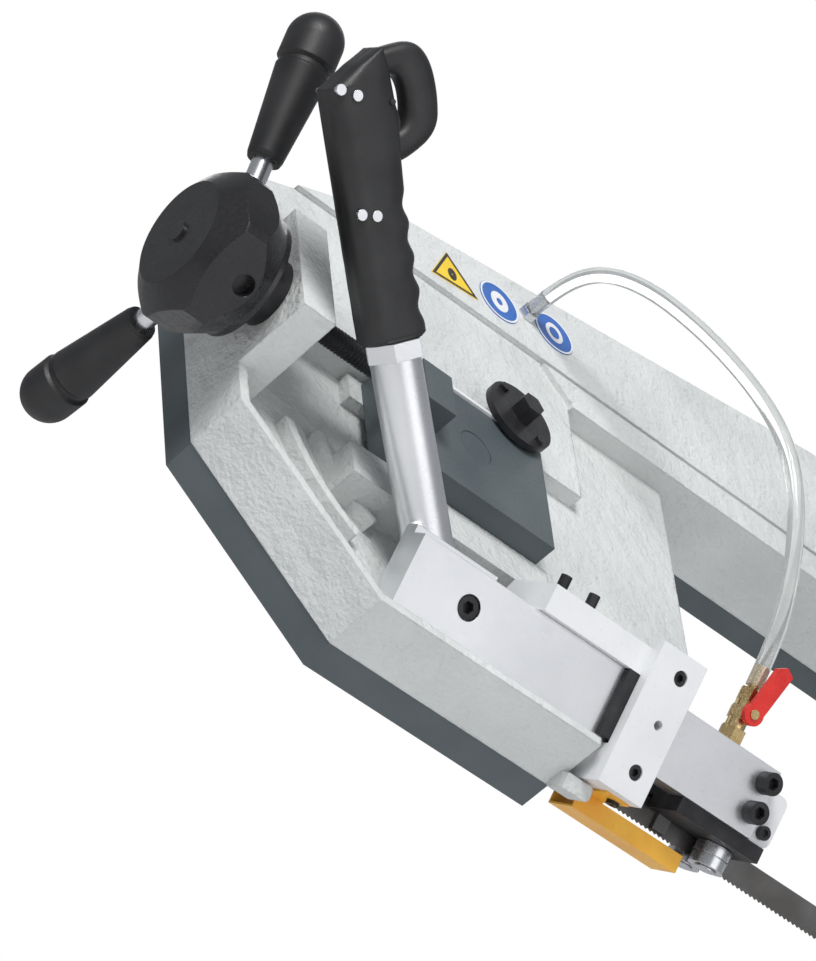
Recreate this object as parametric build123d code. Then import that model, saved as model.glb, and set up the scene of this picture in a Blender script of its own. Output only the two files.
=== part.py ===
"""Saw head of a two-wheel metal-cutting mitre band saw, with its pivot bracket.

Working axes: X runs along the blade towards the drive end, Z is up with the head down, Y points away from
the operator.  The wheels lean back 45 degrees, so the head is drawn in its own axes: x along the blade,
v up and back in the plane of the wheels, w square to that plane, up and to the front.  The blade twists
from the wheels' lean to upright between the guides.  Everything is drawn about the blade's centre line
and moved at the end, so that the origin is the centre of the pivot bracket's foot.  Millimetres.
"""
from build123d import *
import math
import os

# ---- blade and wheels -------------------------------------------------------------------------------------
BLADE_WIDTH = 20.0
BLADE_THICK = 0.9
WHEEL_R = 160.0
WHEEL_WIDTH = 24.0
WHEEL_RIM = 12.0
WHEEL_WEB = 8.0
WHEEL_HUB_R = 30.0
WHEEL_SPACING = 690.0
WHEEL_GAP = 0.1              # blade to wheel, so that the two stay separate bodies
LEAN = 45.0                  # the wheels' plane to the vertical, degrees
IDLER_X = 83.0
DRIVE_X = IDLER_X + WHEEL_SPACING
TWIST_RUN = 45.0             # straight stretch from each wheel before the blade starts to twist
TWIST_END = 254.0            # where the blade stands upright, from the idler side
TWIST_START = 588.0          # where it starts to lean again

# ---- bow casting ------------------------------------------------------------------------------------------
WALL = 8.0
BOTTOM_GAP = 30.0            # blade to the casting's outer face, below the wheels
END_GAP = 35.0               # wheel to the casting's outer face, beyond each end
CORNER_CUT = 113.0
BACK_W = -6.0                # where the casting ends and the cover begins
WEB_BACK = 14.0
WEB_FRONT = 22.0
RIM_FRONT = 42.0
BEAM_FRONT = 58.0
BEAM_BOTTOM = 308.0
STEP_FRONT = 54.0
RAIL_FRONT = 50.0
STEP_BOTTOM = 212.5
STEP_RIGHT = 205.0
THROAT_LEFT = 310.0
THROAT_RIGHT = 590.0
BOTTOM_WALL_END = 200.0
LUG_LOW = (196.0, -36.0, -26.0)      # foot at the bottom wall's end, in the working axes
LUG_HIGH = (220.0, -17.5, -14.6)
BLADE_SIDE = 8.0             # the casting stops this far above the blade line, past its bottom wall
SHOULDER_V = 330.0
BEAM_TOP_LEFT = (54.0, 395.0)
BEAM_TOP = (487.0, 473.0)
BEAM_TOP_RIGHT_X = 810.0
PLATEAU_LEFT = 158.0
PLATEAU_BOTTOM = 64.0
SEAT_END = 252.0              # the casting stops here below the throat, to let the guide block pass
NOTCH_TOP = 122.0
GROOVE_V = 338.0

# ---- blade tension ----------------------------------------------------------------------------------------
AXIS_V = WHEEL_R
SCREW_W = 74.0
SLIDE_LEFT = 15.0
SLIDE_RIGHT = 150.0
SLIDE_BOTTOM = 106.0
SLIDE_TOP = 209.0
SLIDE_BACK = 32.0
SLIDE_FRONT = 68.0
SLIDE_FIT = 0.3
GIB = 3.0
GIB_PROUD = 2.0
AXLE_R = 10.0
CLAMP_PLACE = (126.0, 221.0) # round clamp at the slide's upper edge, x and v
CLAMP_R = 28.5
CLAMP_THICK = 5.0
CLAMP_STUD_R = 11.0
BOSS_LEFT = IDLER_X - WHEEL_R - END_GAP
BOSS_RIGHT = -84.0
BOSS_BOTTOM = 120.0
BOSS_TOP = 200.0
BOSS_FRONT = 105.0
SCREW_R = 8.0
HUB_R = 57.0
HUB_FACE = -190.0            # outer face, towards the idler end
HUB_FACE_R = 38.0
HUB_WIDEST = (-176.0, -158.0)
HUB_BACK = -132.0
HUB_BACK_R = 44.0
HUB_FLAT_R = 49.0            # flats where the arms enter
HUB_SIDE_FLAT_R = 53.0       # flats between them
CENTRE_SCREW_R = 7.0
WASHER_STACK = BOSS_LEFT - HUB_BACK - 0.3
WASHER_R = 24.0
ARM_X = -154.0
ARM_ANGLES = (8.0, 128.0)    # from straight up, towards the back
NECK_R = 7.5
NECK_START = 40.0
NECK_END = 76.0
BULB_R = 20.0
ARM_LENGTH = 112.0

# ---- guide bar and its bracket ----------------------------------------------------------------------------
BAR_LEFT = 15.0
BAR_RIGHT = 348.0
BAR_BOTTOM = 14.0
BAR_HEIGHT = 50.0
BAR_BACK = -20.0
BAR_THICK = 20.0
BAR_FIT = 0.3
BAR_FRONT = BAR_BACK - BAR_THICK
BAR_TOP = BAR_BOTTOM + BAR_HEIGHT
BAR_MID = BAR_BOTTOM + BAR_HEIGHT / 2
BRACKET_LEFT = 118.0
PLATE_LEFT = 207.0
PLATE_RIGHT = 247.0
PLATE_THICK = 9.0
PLATE_HALF = 52.0
PLATE_SCREW_OFF = 34.0
FLANGE_FRONT = BAR_FRONT - 6.0
RAIL_TOP = 84.0
SET_SCREW_R = 4.0
SET_SCREW_XS = (132.0, 158.0)
M10_HEAD_R = 8.0
M6_HEAD_R = 5.0

# ---- blade guides -----------------------------------------------------------------------------------------
ROLLER_R = 13.0
ROLLER_LENGTH = 16.0
ROLLER_GAP = 0.1
ROLLER_X = 343.0
ROLLER_BOTTOM = -13.5
ROLLER_PIN_R = 5.0
BLOCK_LEFT = 286.0
BLOCK_RIGHT = 364.0
BLOCK_BACK = 24.0
PAD_X = 303.0
SLOT_FRONT = 4.0
SLOT_BACK = 3.0
SLOT_TOP = BLADE_WIDTH / 2 + 2.3
FIXED_ROLLER_X = 545.0
FIXED_BLOCK_LEFT = 534.0
FIXED_BLOCK_RIGHT = 586.0
FIXED_ARM_RIGHT = 664.0
GUARD_LEFT = 224.0
GUARD_RIGHT = 322.0
GUARD_BOTTOM = -28.0
GUARD_TOP = -15.2
GUARD_FRONT = -15.0
GUARD_BACK = 13.0
GUARD_SCREW = (239.0, FLANGE_FRONT + 12.0)
GUARD_SHEET = 1.5

# ---- control handle ---------------------------------------------------------------------------------------
HANDLE_LEAN = 42.6           # from upright towards the idler end, degrees
HANDLE_Y = -2.0
TUBE_R = 17.0
TUBE_WALL = 2.5
TUBE_FOOT = (43.0, 68.0)     # where its axis meets the bar's top line, x and z
TUBE_LENGTH = 124.0
FOOT_SCREW_X = 69.0
GRIP_LENGTH = 186.0
GRIP_WIDTH = 34.0
GRIP_SCREWS = ((179.0, -15.5), (173.0, -4.0), (98.0, -16.0), (95.0, -5.0))
GRIP_WALL = 5.0
GRIP_ROUND = 13.0            # radius of the grip's long edges
GRIP_POINTS = [(16, 12), (-23, 12), (-20, GRIP_LENGTH - 4), (2, GRIP_LENGTH + 6), (28, GRIP_LENGTH + 14),
               (31, 150), (24, 120), (22.5, 20)]    # across and along the grip
FINGER_R = 15.0
FINGER_PLACES = (31.0, 53.0, 75.0, 97.0)
TRIGGER_PIN = (164.0, 22.0)
TRIGGER_HALF = 6.5
SWITCH_FIT = 0.3
SCREW_BOSS_R = 3.6

# ---- coolant ----------------------------------------------------------------------------------------------
VALVE_X = 304.0
VALVE_Y = BAR_FRONT + BAR_THICK / 2
VALVE_STEM = 22.0            # lever's pivot above the bar
STEM_R = 3.5
LEVER_REACH = 15.0
LEVER_THICK = 4.0
HOSE_R = 6.0
HOSE_BORE = 4.0
HOSE_INLET = (169.5, 382.7)  # x and v on the beam's front face
NOTICE_R = 19.0
NOTICE_PLACES = ((141.0, 374.0), (197.3, 384.0))

# ---- drive ------------------------------------------------------------------------------------------------
SHAFT_R = 15.0
GEAR_W = 112.0
GEAR_CENTRES = 60.0
WORM_R = 15.0
WORM_TEETH = 30
WORM_WHEEL_R = GEAR_CENTRES - WORM_R - 0.6
GEARBOX_BACK = 64.0
GEARBOX_FRONT = 150.0
GEARBOX_HALF = 68.0
GEARBOX_BOTTOM = 95.0
GEARBOX_TOP = 260.0
GEARBOX_WALL = 7.0
MOTOR_V = AXIS_V + GEAR_CENTRES
MOTOR_R = 62.0
MOTOR_LENGTH = 150.0
FAN_COVER_LENGTH = 46.0
FIN_COUNT = 28

# ---- wheel cover ------------------------------------------------------------------------------------------
COVER_BACK = -31.0
COVER_THROAT_BACK = -26.0
PASSAGE_BACK = -16.0
COVER_SHEET = 2.0
COVER_INSET = 1.0
COVER_FIT = 0.3
HINGE_V = BEAM_TOP[1] + 7.0
HINGE_XS = (550.0, 760.0)
HINGE_LENGTH = 50.0
HINGE_PIN_R = 3.0

# ---- pivot bracket ----------------------------------------------------------------------------------------
PIVOT_X = DRIVE_X + WHEEL_R + END_GAP + 67.0
PIVOT_Z = 70.0
PIVOT_Y = 60.0
PIVOT_HEIGHT = 130.0         # pivot axis above the foot's underside
PIVOT_SHAFT_R = 15.0
BARREL_R = 33.0
BARREL_HALF = 40.0
EAR_THICK = 14.0
EAR_FIT = 0.5
FOOT_X = 130.0
FOOT_Y = 160.0
FOOT_THICK = 18.0
BOLT_X = 90.0
BOLT_Y = 124.0
BOLT_HOLE_R = 6.5
STOP_REACH = 46.0
RUNNING_FIT = 0.05

LOW = (Align.CENTER, Align.CENTER, Align.MIN)
LEFT_LOW = (Align.MIN, Align.MIN, Align.MIN)
BOW = Plane(origin=(0, 0, 0), x_dir=(1, 0, 0), z_dir=(0, -1, 1)).location
WORLD = Location((0, 0, 0))
TO_ORIGIN = Location((-PIVOT_X, -PIVOT_Y, PIVOT_HEIGHT - PIVOT_Z))


# ---- helpers ----------------------------------------------------------------------------------------------
def box(low, high, place=WORLD):
    """Box between two corners, in the working axes or in the head's own."""
    size = [b - a for a, b in zip(low, high)]
    return place * Pos(*low) * Box(*size, align=LEFT_LOW)


def disc(x, v, low, high, radius, place=BOW):
    """Cylinder along the third axis, between two heights."""
    return place * Pos(x, v, low) * Cylinder(radius, high - low, align=LOW)


def along_x(x_low, x_high, a, b, radius, place=BOW):
    """Cylinder along X, through the point (a, b) of the other two axes."""
    return place * Pos(x_low, a, b) * Rot(0, 90, 0) * Cylinder(radius, x_high - x_low, align=LOW)


def along_y(y_low, y_high, x, z, radius):
    """Cylinder along Y in the working axes."""
    return Pos(x, y_low, z) * Rot(-90, 0, 0) * Cylinder(radius, y_high - y_low, align=LOW)


def slab(points, low, high, place=BOW):
    """Polygon drawn on the place's plane and carried from one height to another."""
    face = make_face(Polyline(*[(p[0], p[1]) for p in points], close=True))
    return place * Pos(0, 0, low) * extrude(face, high - low)


def inset(points, amount):
    """The same outline, drawn in by an even amount."""
    face = make_face(Polyline(*[(p[0], p[1]) for p in points], close=True))
    return offset(face, -amount, kind=Kind.INTERSECTION)


def cap_screw(shank_r, head_r, length, head, socket):
    """Socket cap screw with its head's underside at z = 0, pointing down."""
    screw = Pos(0, 0, -length) * Cylinder(shank_r, length, align=LOW)
    screw += Cylinder(head_r, head, align=LOW)
    hexagon = extrude(RegularPolygon(socket, 6), head * 0.6)
    return screw - Pos(0, 0, head * 0.45) * hexagon


def save(name, *solids):
    """Write one node, with every solid moved to the part's origin."""
    shapes = []
    for item in solids:
        shapes += list(item.solids())
    moved = [TO_ORIGIN * s for s in shapes]
    export_step(moved[0] if len(moved) == 1 else Compound(children=moved), f"parts/{name}.step")


# ---- bow casting and its cover ----------------------------------------------------------------------------
END_LEFT = BOSS_LEFT
END_RIGHT = DRIVE_X + WHEEL_R + END_GAP
GUIDE_NOTCH = [(SEAT_END, BLADE_SIDE), (SEAT_END, PLATEAU_BOTTOM + 6), (THROAT_LEFT, NOTCH_TOP)]
IDLER_OUTLINE = [(END_LEFT + CORNER_CUT, -BOTTOM_GAP), (BOTTOM_WALL_END, -BOTTOM_GAP),
                 (BOTTOM_WALL_END + 6, BLADE_SIDE)] + GUIDE_NOTCH
DRIVE_WALL_START = DRIVE_X - 111.0
DRIVE_OUTLINE = [(THROAT_RIGHT, BLADE_SIDE), (DRIVE_WALL_START - 6, BLADE_SIDE),
                 (DRIVE_WALL_START, -BOTTOM_GAP), (END_RIGHT - CORNER_CUT, -BOTTOM_GAP),
                 (END_RIGHT, CORNER_CUT - BOTTOM_GAP)]
TOP_OUTLINE = [(END_RIGHT, SHOULDER_V), (BEAM_TOP_RIGHT_X, BEAM_TOP[1]), BEAM_TOP, BEAM_TOP_LEFT,
               (END_LEFT + 31, SHOULDER_V), (END_LEFT, SHOULDER_V - 27)]
OUTLINE = (IDLER_OUTLINE + [(THROAT_LEFT, BEAM_BOTTOM), (THROAT_RIGHT, BEAM_BOTTOM)] + DRIVE_OUTLINE
           + TOP_OUTLINE + [(END_LEFT, CORNER_CUT - BOTTOM_GAP)])


def blade_passage():
    """Room for the blade where it leaves the wheel cases."""
    left = box((BOTTOM_WALL_END - 12, -9, PASSAGE_BACK), (BOTTOM_WALL_END + 12, 9, 12), BOW)
    right = box((DRIVE_WALL_START - 15, -9, PASSAGE_BACK), (DRIVE_WALL_START + 12, 9, 12), BOW)
    return left + right


def bow_casting():
    """Tray open at the back, with the wheels in it, raised rims, a hollow beam and the slide's seat."""
    body = slab(OUTLINE, BACK_W, WEB_FRONT)
    body -= BOW * Pos(0, 0, BACK_W) * extrude(inset(OUTLINE, WALL), WEB_BACK - BACK_W)
    rim = slab(OUTLINE, WEB_FRONT, RIM_FRONT)
    rim -= BOW * Pos(0, 0, WEB_FRONT) * extrude(inset(OUTLINE, WALL), RIM_FRONT - WEB_FRONT)
    body += rim
    beam_left = STEP_BOTTOM
    beam = [(END_LEFT, beam_left), (STEP_RIGHT, beam_left), (STEP_RIGHT, BEAM_BOTTOM),
            (END_RIGHT, BEAM_BOTTOM)] + TOP_OUTLINE
    body += slab(beam, WEB_FRONT, BEAM_FRONT)
    body -= BOW * Pos(0, 0, WEB_BACK) * extrude(inset(beam, WALL), BEAM_FRONT - WALL - WEB_BACK)
    step = [(END_LEFT - 1, beam_left - 1), (STEP_RIGHT + 1, beam_left - 1),
            (STEP_RIGHT + 1, GROOVE_V - 26), (STEP_RIGHT - 24, GROOVE_V), (END_LEFT - 1, GROOVE_V)]
    body -= slab(step, STEP_FRONT, BEAM_FRONT + 1)
    groove = box((BOSS_RIGHT, GROOVE_V, STEP_FRONT), (END_RIGHT - 60, GROOVE_V + 4, BEAM_FRONT + 1), BOW)
    body -= groove
    plateau = [(PLATEAU_LEFT, PLATEAU_BOTTOM), (SEAT_END, PLATEAU_BOTTOM)] + GUIDE_NOTCH[1:]
    plateau += [(THROAT_LEFT, BEAM_BOTTOM + WALL), (PLATEAU_LEFT, BEAM_BOTTOM + WALL)]
    body += slab(plateau, WEB_BACK, RIM_FRONT)
    body -= BOW * Pos(0, 0, WEB_BACK - 1) * extrude(inset(plateau, WALL), RIM_FRONT - WALL - WEB_BACK + 1)
    body += box((-20, SLIDE_BOTTOM - SLIDE_FIT - 32, WEB_FRONT),
                (PLATEAU_LEFT + 2, SLIDE_BOTTOM - SLIDE_FIT, RAIL_FRONT), BOW)
    for v in (SLIDE_BOTTOM, SLIDE_TOP - 24):
        body += box((SLIDE_LEFT - 12, v, WEB_FRONT), (PLATEAU_LEFT, v + 24, SLIDE_BACK - SLIDE_FIT), BOW)
    body += box((BOSS_LEFT, BOSS_BOTTOM, WEB_FRONT), (BOSS_RIGHT, BOSS_TOP + 20, BOSS_FRONT), BOW)
    body -= along_x(BOSS_LEFT - 1, BOSS_RIGHT + 1, AXIS_V, SCREW_W, SCREW_R + 0.4)
    for radius in (118.0, 148.0):
        ring = disc(IDLER_X, AXIS_V, WEB_FRONT, WEB_FRONT + 10, radius + 4)
        ring -= disc(IDLER_X, AXIS_V, WEB_FRONT, WEB_FRONT + 10, radius - 4)
        sector = [(IDLER_X, AXIS_V), (IDLER_X - 187, AXIS_V - 60), (IDLER_X - 187, AXIS_V - 200),
                  (IDLER_X - 143, AXIS_V - 200)]
        body += ring & slab(sector, WEB_FRONT, WEB_FRONT + 10)
    slot = box((IDLER_X - 24, AXIS_V - 22, WEB_BACK - 1), (IDLER_X + 26, AXIS_V + 22, SLIDE_BACK), BOW)
    body -= slot
    body -= disc(DRIVE_X, AXIS_V, WEB_BACK - 1, WEB_FRONT + 1, 40.0)
    body -= blade_passage()
    for left, right in ((BRACKET_LEFT - 6, SEAT_END + 8), (THROAT_RIGHT - 2, FIXED_ARM_RIGHT + 6)):
        body -= box((left, WALL - BOTTOM_GAP, WEB_FRONT), (right, PLATEAU_BOTTOM, BEAM_FRONT), BOW)
    body -= disc(HOSE_INLET[0], HOSE_INLET[1], BEAM_FRONT - WALL - 1, BEAM_FRONT + 1, 5.0)
    lug = box(LUG_LOW, LUG_HIGH)
    body += fillet(lug.edges().filter_by(Axis.Y).group_by(Axis.X)[-1], 4.0)
    arm = box((END_RIGHT - 0.5, PIVOT_Y - BARREL_HALF, PIVOT_Z - 24),
              (PIVOT_X, PIVOT_Y + BARREL_HALF, PIVOT_Z + 24))
    arm += along_y(PIVOT_Y - BARREL_HALF, PIVOT_Y + BARREL_HALF, PIVOT_X, PIVOT_Z, BARREL_R)
    body += arm
    body -= along_y(0, 2 * PIVOT_Y, PIVOT_X, PIVOT_Z, PIVOT_SHAFT_R + RUNNING_FIT)
    for x in HINGE_XS:
        lug = box((x - HINGE_LENGTH / 2, BEAM_TOP[1] - 2, BACK_W + 2), (x, HINGE_V, BACK_W + 14), BOW)
        lug += along_x(x - HINGE_LENGTH / 2, x, HINGE_V, BACK_W + 8, 6.0)
        body += lug
        body -= along_x(x - HINGE_LENGTH, x + HINGE_LENGTH, HINGE_V, BACK_W + 8, HINGE_PIN_R + RUNNING_FIT)
    return body


def beam_top(x):
    """Height of the beam's sloping top edge."""
    slope = (BEAM_TOP[1] - BEAM_TOP_LEFT[1]) / (BEAM_TOP[0] - BEAM_TOP_LEFT[0])
    return BEAM_TOP_LEFT[1] + slope * (x - BEAM_TOP_LEFT[0])


def wheel_cover():
    """Sheet tray that closes the wheel cases and the beam from behind."""
    def cases(grow, lift):
        idler = IDLER_OUTLINE + [(THROAT_LEFT, BEAM_BOTTOM), (THROAT_LEFT, beam_top(THROAT_LEFT))]
        idler += TOP_OUTLINE[3:]
        idler += [(END_LEFT, CORNER_CUT - BOTTOM_GAP)]
        drive = DRIVE_OUTLINE + TOP_OUTLINE[:2] + [(THROAT_RIGHT, BEAM_TOP[1]), (THROAT_RIGHT, BEAM_BOTTOM)]
        top = BACK_W - COVER_FIT - lift
        solids = BOW * Pos(0, 0, COVER_BACK + lift) * extrude(inset(idler, grow), top - COVER_BACK + lift)
        solids += BOW * Pos(0, 0, COVER_BACK + lift) * extrude(inset(drive, grow), top - COVER_BACK + lift)
        left, right = THROAT_LEFT - 30, THROAT_RIGHT + 30
        beam = [(left, BEAM_BOTTOM), (right, BEAM_BOTTOM), (right, BEAM_TOP[1]), BEAM_TOP,
                (left, beam_top(left))]
        low = COVER_THROAT_BACK + lift
        return solids + BOW * Pos(0, 0, low) * extrude(inset(beam, grow), top - low + 2 * lift)
    shell = cases(COVER_INSET, 0.0)
    shell -= cases(COVER_INSET + COVER_SHEET, COVER_SHEET)
    shell -= blade_passage()
    for x in HINGE_XS:
        leaf = box((x + 0.5, BEAM_TOP[1] - 4, BACK_W - 3),
                   (x + HINGE_LENGTH / 2, HINGE_V, BACK_W - COVER_FIT), BOW)
        leaf += box((x + 0.5, HINGE_V - 3, BACK_W - 3), (x + HINGE_LENGTH / 2, HINGE_V + 3, BACK_W + 8), BOW)
        leaf += along_x(x + 0.5, x + HINGE_LENGTH / 2, HINGE_V, BACK_W + 8, 6.0)
        leaf -= along_x(x, x + HINGE_LENGTH, HINGE_V, BACK_W + 8, HINGE_PIN_R + 0.02)
        shell += leaf
    return shell


def hinge_pins():
    """Pins of the cover's two hinges."""
    half = HINGE_LENGTH / 2
    return Compound(children=[along_x(x - half, x + half, HINGE_V, BACK_W + 8, HINGE_PIN_R) for x in HINGE_XS])


# ---- wheels and blade -------------------------------------------------------------------------------------
def saw_wheel(x, bore):
    """Flanged cast wheel: rim, web with round openings, hub."""
    half = WHEEL_WIDTH / 2
    wheel = disc(x, AXIS_V, -half, half, WHEEL_R - WHEEL_GAP)
    wheel -= disc(x, AXIS_V, -half - 1, half + 1, WHEEL_R - WHEEL_RIM)
    wheel += disc(x, AXIS_V, -WHEEL_WEB / 2, WHEEL_WEB / 2, WHEEL_R - WHEEL_RIM + 1)
    wheel += disc(x, AXIS_V, -half, half, WHEEL_HUB_R)
    for index in range(6):
        angle = math.radians(60 * index)
        centre = (x + 92 * math.cos(angle), AXIS_V + 92 * math.sin(angle))
        wheel -= disc(centre[0], centre[1], -half, half, 30.0)
    return wheel - disc(x, AXIS_V, -half - 1, half + 1, bore)


def blade():
    """Endless band: round the wheels in their leaning plane, upright between the guides."""
    def track(radius):
        loop = Pos(IDLER_X, AXIS_V) * Circle(radius) + Pos(DRIVE_X, AXIS_V) * Circle(radius)
        return loop + Pos(IDLER_X, AXIS_V) * Rectangle(WHEEL_SPACING, 2 * radius, align=(Align.MIN, Align.CENTER))
    band = track(WHEEL_R + BLADE_THICK) - track(WHEEL_R)
    band -= Pos(IDLER_X, -2) * Rectangle(WHEEL_SPACING, 20, align=(Align.MIN, Align.CENTER))
    half = BLADE_WIDTH / 2
    loop = BOW * Pos(0, 0, -half) * extrude(band, BLADE_WIDTH)

    def section(x, turn):
        """Cross-section of the blade at a place on its lower run, leaning by a number of degrees."""
        angle = math.radians(turn)
        plane = Plane(origin=(x, 0, 0), x_dir=(0, -math.sin(angle), math.cos(angle)), z_dir=(1, 0, 0))
        return plane * Pos(0, BLADE_THICK / 2) * Rectangle(BLADE_WIDTH, BLADE_THICK)
    steps = 4
    left, right = IDLER_X + TWIST_RUN, DRIVE_X - TWIST_RUN
    first = [section(left + (TWIST_END - left) * i / steps, LEAN * (1 - i / steps)) for i in range(steps + 1)]
    last = [section(TWIST_START + (right - TWIST_START) * i / steps, LEAN * i / steps)
            for i in range(steps + 1)]
    run = loft(first) + loft(last)
    run += extrude(section(TWIST_END, 0), TWIST_START - TWIST_END)
    run += extrude(section(IDLER_X, LEAN), TWIST_RUN) + extrude(section(right, LEAN), TWIST_RUN)
    return loop + run


# ---- tension ----------------------------------------------------------------------------------------------
def tension_slide():
    """Block in the casting's slideway, with the raised nut for the tension screw."""
    body = box((SLIDE_LEFT, SLIDE_BOTTOM, SLIDE_BACK),
               (SLIDE_RIGHT, SLIDE_TOP - GIB - SLIDE_FIT, SLIDE_FRONT), BOW)
    body += box((SLIDE_LEFT, AXIS_V - 20, SLIDE_FRONT - 1), (SLIDE_LEFT + 26, AXIS_V + 20, SCREW_W + 16), BOW)
    body -= along_x(SLIDE_LEFT - 1, SLIDE_LEFT + 30, AXIS_V, SCREW_W, SCREW_R + RUNNING_FIT)
    return body - disc(IDLER_X, AXIS_V, SLIDE_BACK - 1, SLIDE_FRONT + 1, AXLE_R + 4)


def slide_gib():
    """Strip between the slide and the upper rail."""
    return box((SLIDE_LEFT + 4, SLIDE_TOP - GIB, SLIDE_BACK),
               (PLATEAU_LEFT - 12, SLIDE_TOP, SLIDE_FRONT + GIB_PROUD), BOW)


def idler_axle():
    """Stepped axle, pressed in the slide and ending just below its face."""
    axle = disc(IDLER_X, AXIS_V, -WHEEL_WIDTH / 2 - 2, WHEEL_WIDTH / 2 + 1, AXLE_R)
    return axle + disc(IDLER_X, AXIS_V, WHEEL_WIDTH / 2 + 1, SLIDE_FRONT - 0.5, AXLE_R + 4)


def slide_clamp():
    """Round clamp plate over the slide's upper edge: stud, plate, hexagon and two small screws."""
    x, v = CLAMP_PLACE
    low = SLIDE_FRONT + GIB_PROUD + SLIDE_FIT
    top = low + CLAMP_THICK
    clamp = disc(x, v, STEP_FRONT, low, CLAMP_STUD_R) + disc(x, v, low, top, CLAMP_R)
    clamp += BOW * Pos(x, v, top) * extrude(RegularPolygon(9.5, 6), 13)
    for angle in (-50.0, 130.0):
        reach = CLAMP_R - 6
        screw_x = x + reach * math.cos(math.radians(angle))
        clamp += disc(screw_x, v + reach * math.sin(math.radians(angle)), top, top + 3, 3.5)
    return clamp


def bearing_pair(x, inner, outer):
    """Two ball bearings side by side in an idling wheel."""
    rings = []
    for low in (-WHEEL_WIDTH / 2, 0.4):
        ring = disc(x, AXIS_V, low, low + WHEEL_WIDTH / 2 - 0.4, outer)
        rings.append(ring - disc(x, AXIS_V, low - 1, low + WHEEL_WIDTH, inner))
    return Compound(children=rings)


def tension_screw():
    """Threaded rod from the hub, through the boss, into the slide's nut."""
    rod = along_x(HUB_BACK, SLIDE_LEFT + 24, AXIS_V, SCREW_W, SCREW_R)
    groove_pitch = 6.0
    count = int((SLIDE_LEFT - BOSS_RIGHT - 8) / groove_pitch)
    for index in range(count):
        x = BOSS_RIGHT + 6 + index * groove_pitch
        ring = along_x(x, x + groove_pitch / 2, AXIS_V, SCREW_W, SCREW_R + 1)
        rod -= ring - along_x(x - 1, x + groove_pitch, AXIS_V, SCREW_W, SCREW_R - 1.2)
    return rod


def tension_washers():
    """Stack of disc springs under the hub."""
    stack = along_x(BOSS_LEFT - WASHER_STACK, BOSS_LEFT, AXIS_V, SCREW_W, WASHER_R)
    return stack - along_x(BOSS_LEFT - 30, BOSS_LEFT + 1, AXIS_V, SCREW_W, SCREW_R + 0.6)


def arm_place(angle):
    """Place of one arm of the hub: its local z runs out along the arm."""
    centre = BOW * Pos(ARM_X, AXIS_V, SCREW_W)
    return Location(centre.position) * Rot(-angle, 0, 0)


def tension_hub():
    """Cast hub: sloping face with a small centre screw, flats for the arms, tapered back."""
    profile = [(0, HUB_FACE - 2), (CENTRE_SCREW_R, HUB_FACE - 2), (CENTRE_SCREW_R, HUB_FACE),
               (HUB_FACE_R, HUB_FACE), (HUB_R, HUB_WIDEST[0]), (HUB_R, HUB_WIDEST[1]),
               (HUB_BACK_R, HUB_BACK - 4), (HUB_BACK_R, HUB_BACK), (0, HUB_BACK)]
    face = make_face(Polyline(*profile, close=True))
    hub = BOW * Pos(0, AXIS_V, SCREW_W) * Rot(0, 90, 0) * Rot(90, 0, 0) * revolve(face, Axis.Y)
    for turn in (0.0, 120.0, 240.0):
        place = arm_place(ARM_ANGLES[0] + turn)
        hub -= place * Pos(0, 0, HUB_FLAT_R) * Box(2 * HUB_R, 2 * HUB_R, 20, align=LOW)
        hub -= place * Pos(0, 0, NECK_START - 0.1) * Cylinder(NECK_R + 0.1, 30, align=LOW)
        beside = arm_place(ARM_ANGLES[0] + turn + 60)
        hub -= beside * Pos(0, 0, HUB_SIDE_FLAT_R) * Box(2 * HUB_R, 2 * HUB_R, 20, align=LOW)
    return hub - along_x(HUB_BACK - 20, HUB_BACK + 1, AXIS_V, SCREW_W, SCREW_R + 0.05)


def hub_necks():
    """Bright studs screwed into the hub."""
    neck = Pos(0, 0, NECK_START) * Cylinder(NECK_R, NECK_END - NECK_START, align=LOW)
    return Compound(children=[arm_place(a) * neck for a in ARM_ANGLES])


def hub_handles():
    """Moulded tapered handles with a bulb end."""
    top = NECK_END + ARM_LENGTH
    points = [(0, NECK_END), (11.5, NECK_END), (12.5, NECK_END + 3), (18.5, top - 44), (17.4, top - 42),
              (17.4, top - 39), (BULB_R, top - 37), (BULB_R, top - BULB_R)]
    line = Polyline(*points)
    end = RadiusArc((BULB_R, top - BULB_R), (0, top), -BULB_R)
    face = make_face(line + end + Line((0, top), (0, NECK_END)))
    grip = Rot(90, 0, 0) * revolve(face, Axis.Y)
    return Compound(children=[arm_place(a) * grip for a in ARM_ANGLES])


# ---- guide bar --------------------------------------------------------------------------------------------
def guide_bar():
    """Flat bar with a counterbored hole for the handle's screw and holes for the guide's screws."""
    bar = box((BAR_LEFT, BAR_FRONT, BAR_BOTTOM), (BAR_RIGHT, BAR_BACK, BAR_TOP))
    bar -= along_y(BAR_FRONT - 1, BAR_BACK + 1, FOOT_SCREW_X, BAR_MID, 5.3)
    bar -= along_y(BAR_FRONT - 1, BAR_FRONT + 11, FOOT_SCREW_X, BAR_MID, 9.0)
    for z in (BAR_MID + 13, BAR_MID - 9):
        bar -= along_y(BAR_FRONT - 1, BAR_BACK + 1, ROLLER_X - 4, z, 5.3)
    bar -= Pos(VALVE_X, VALVE_Y, BAR_TOP - 12) * Cylinder(6.6, 13, align=LOW)
    return bar


def front_screw(x, z, face_y, shank_r, head_r, length, head, socket):
    """Cap screw driven in from the front, its head's underside on the plane y = face_y."""
    return Pos(x, face_y, z) * Rot(90, 0, 0) * cap_screw(shank_r, head_r, length, head, socket)


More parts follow.
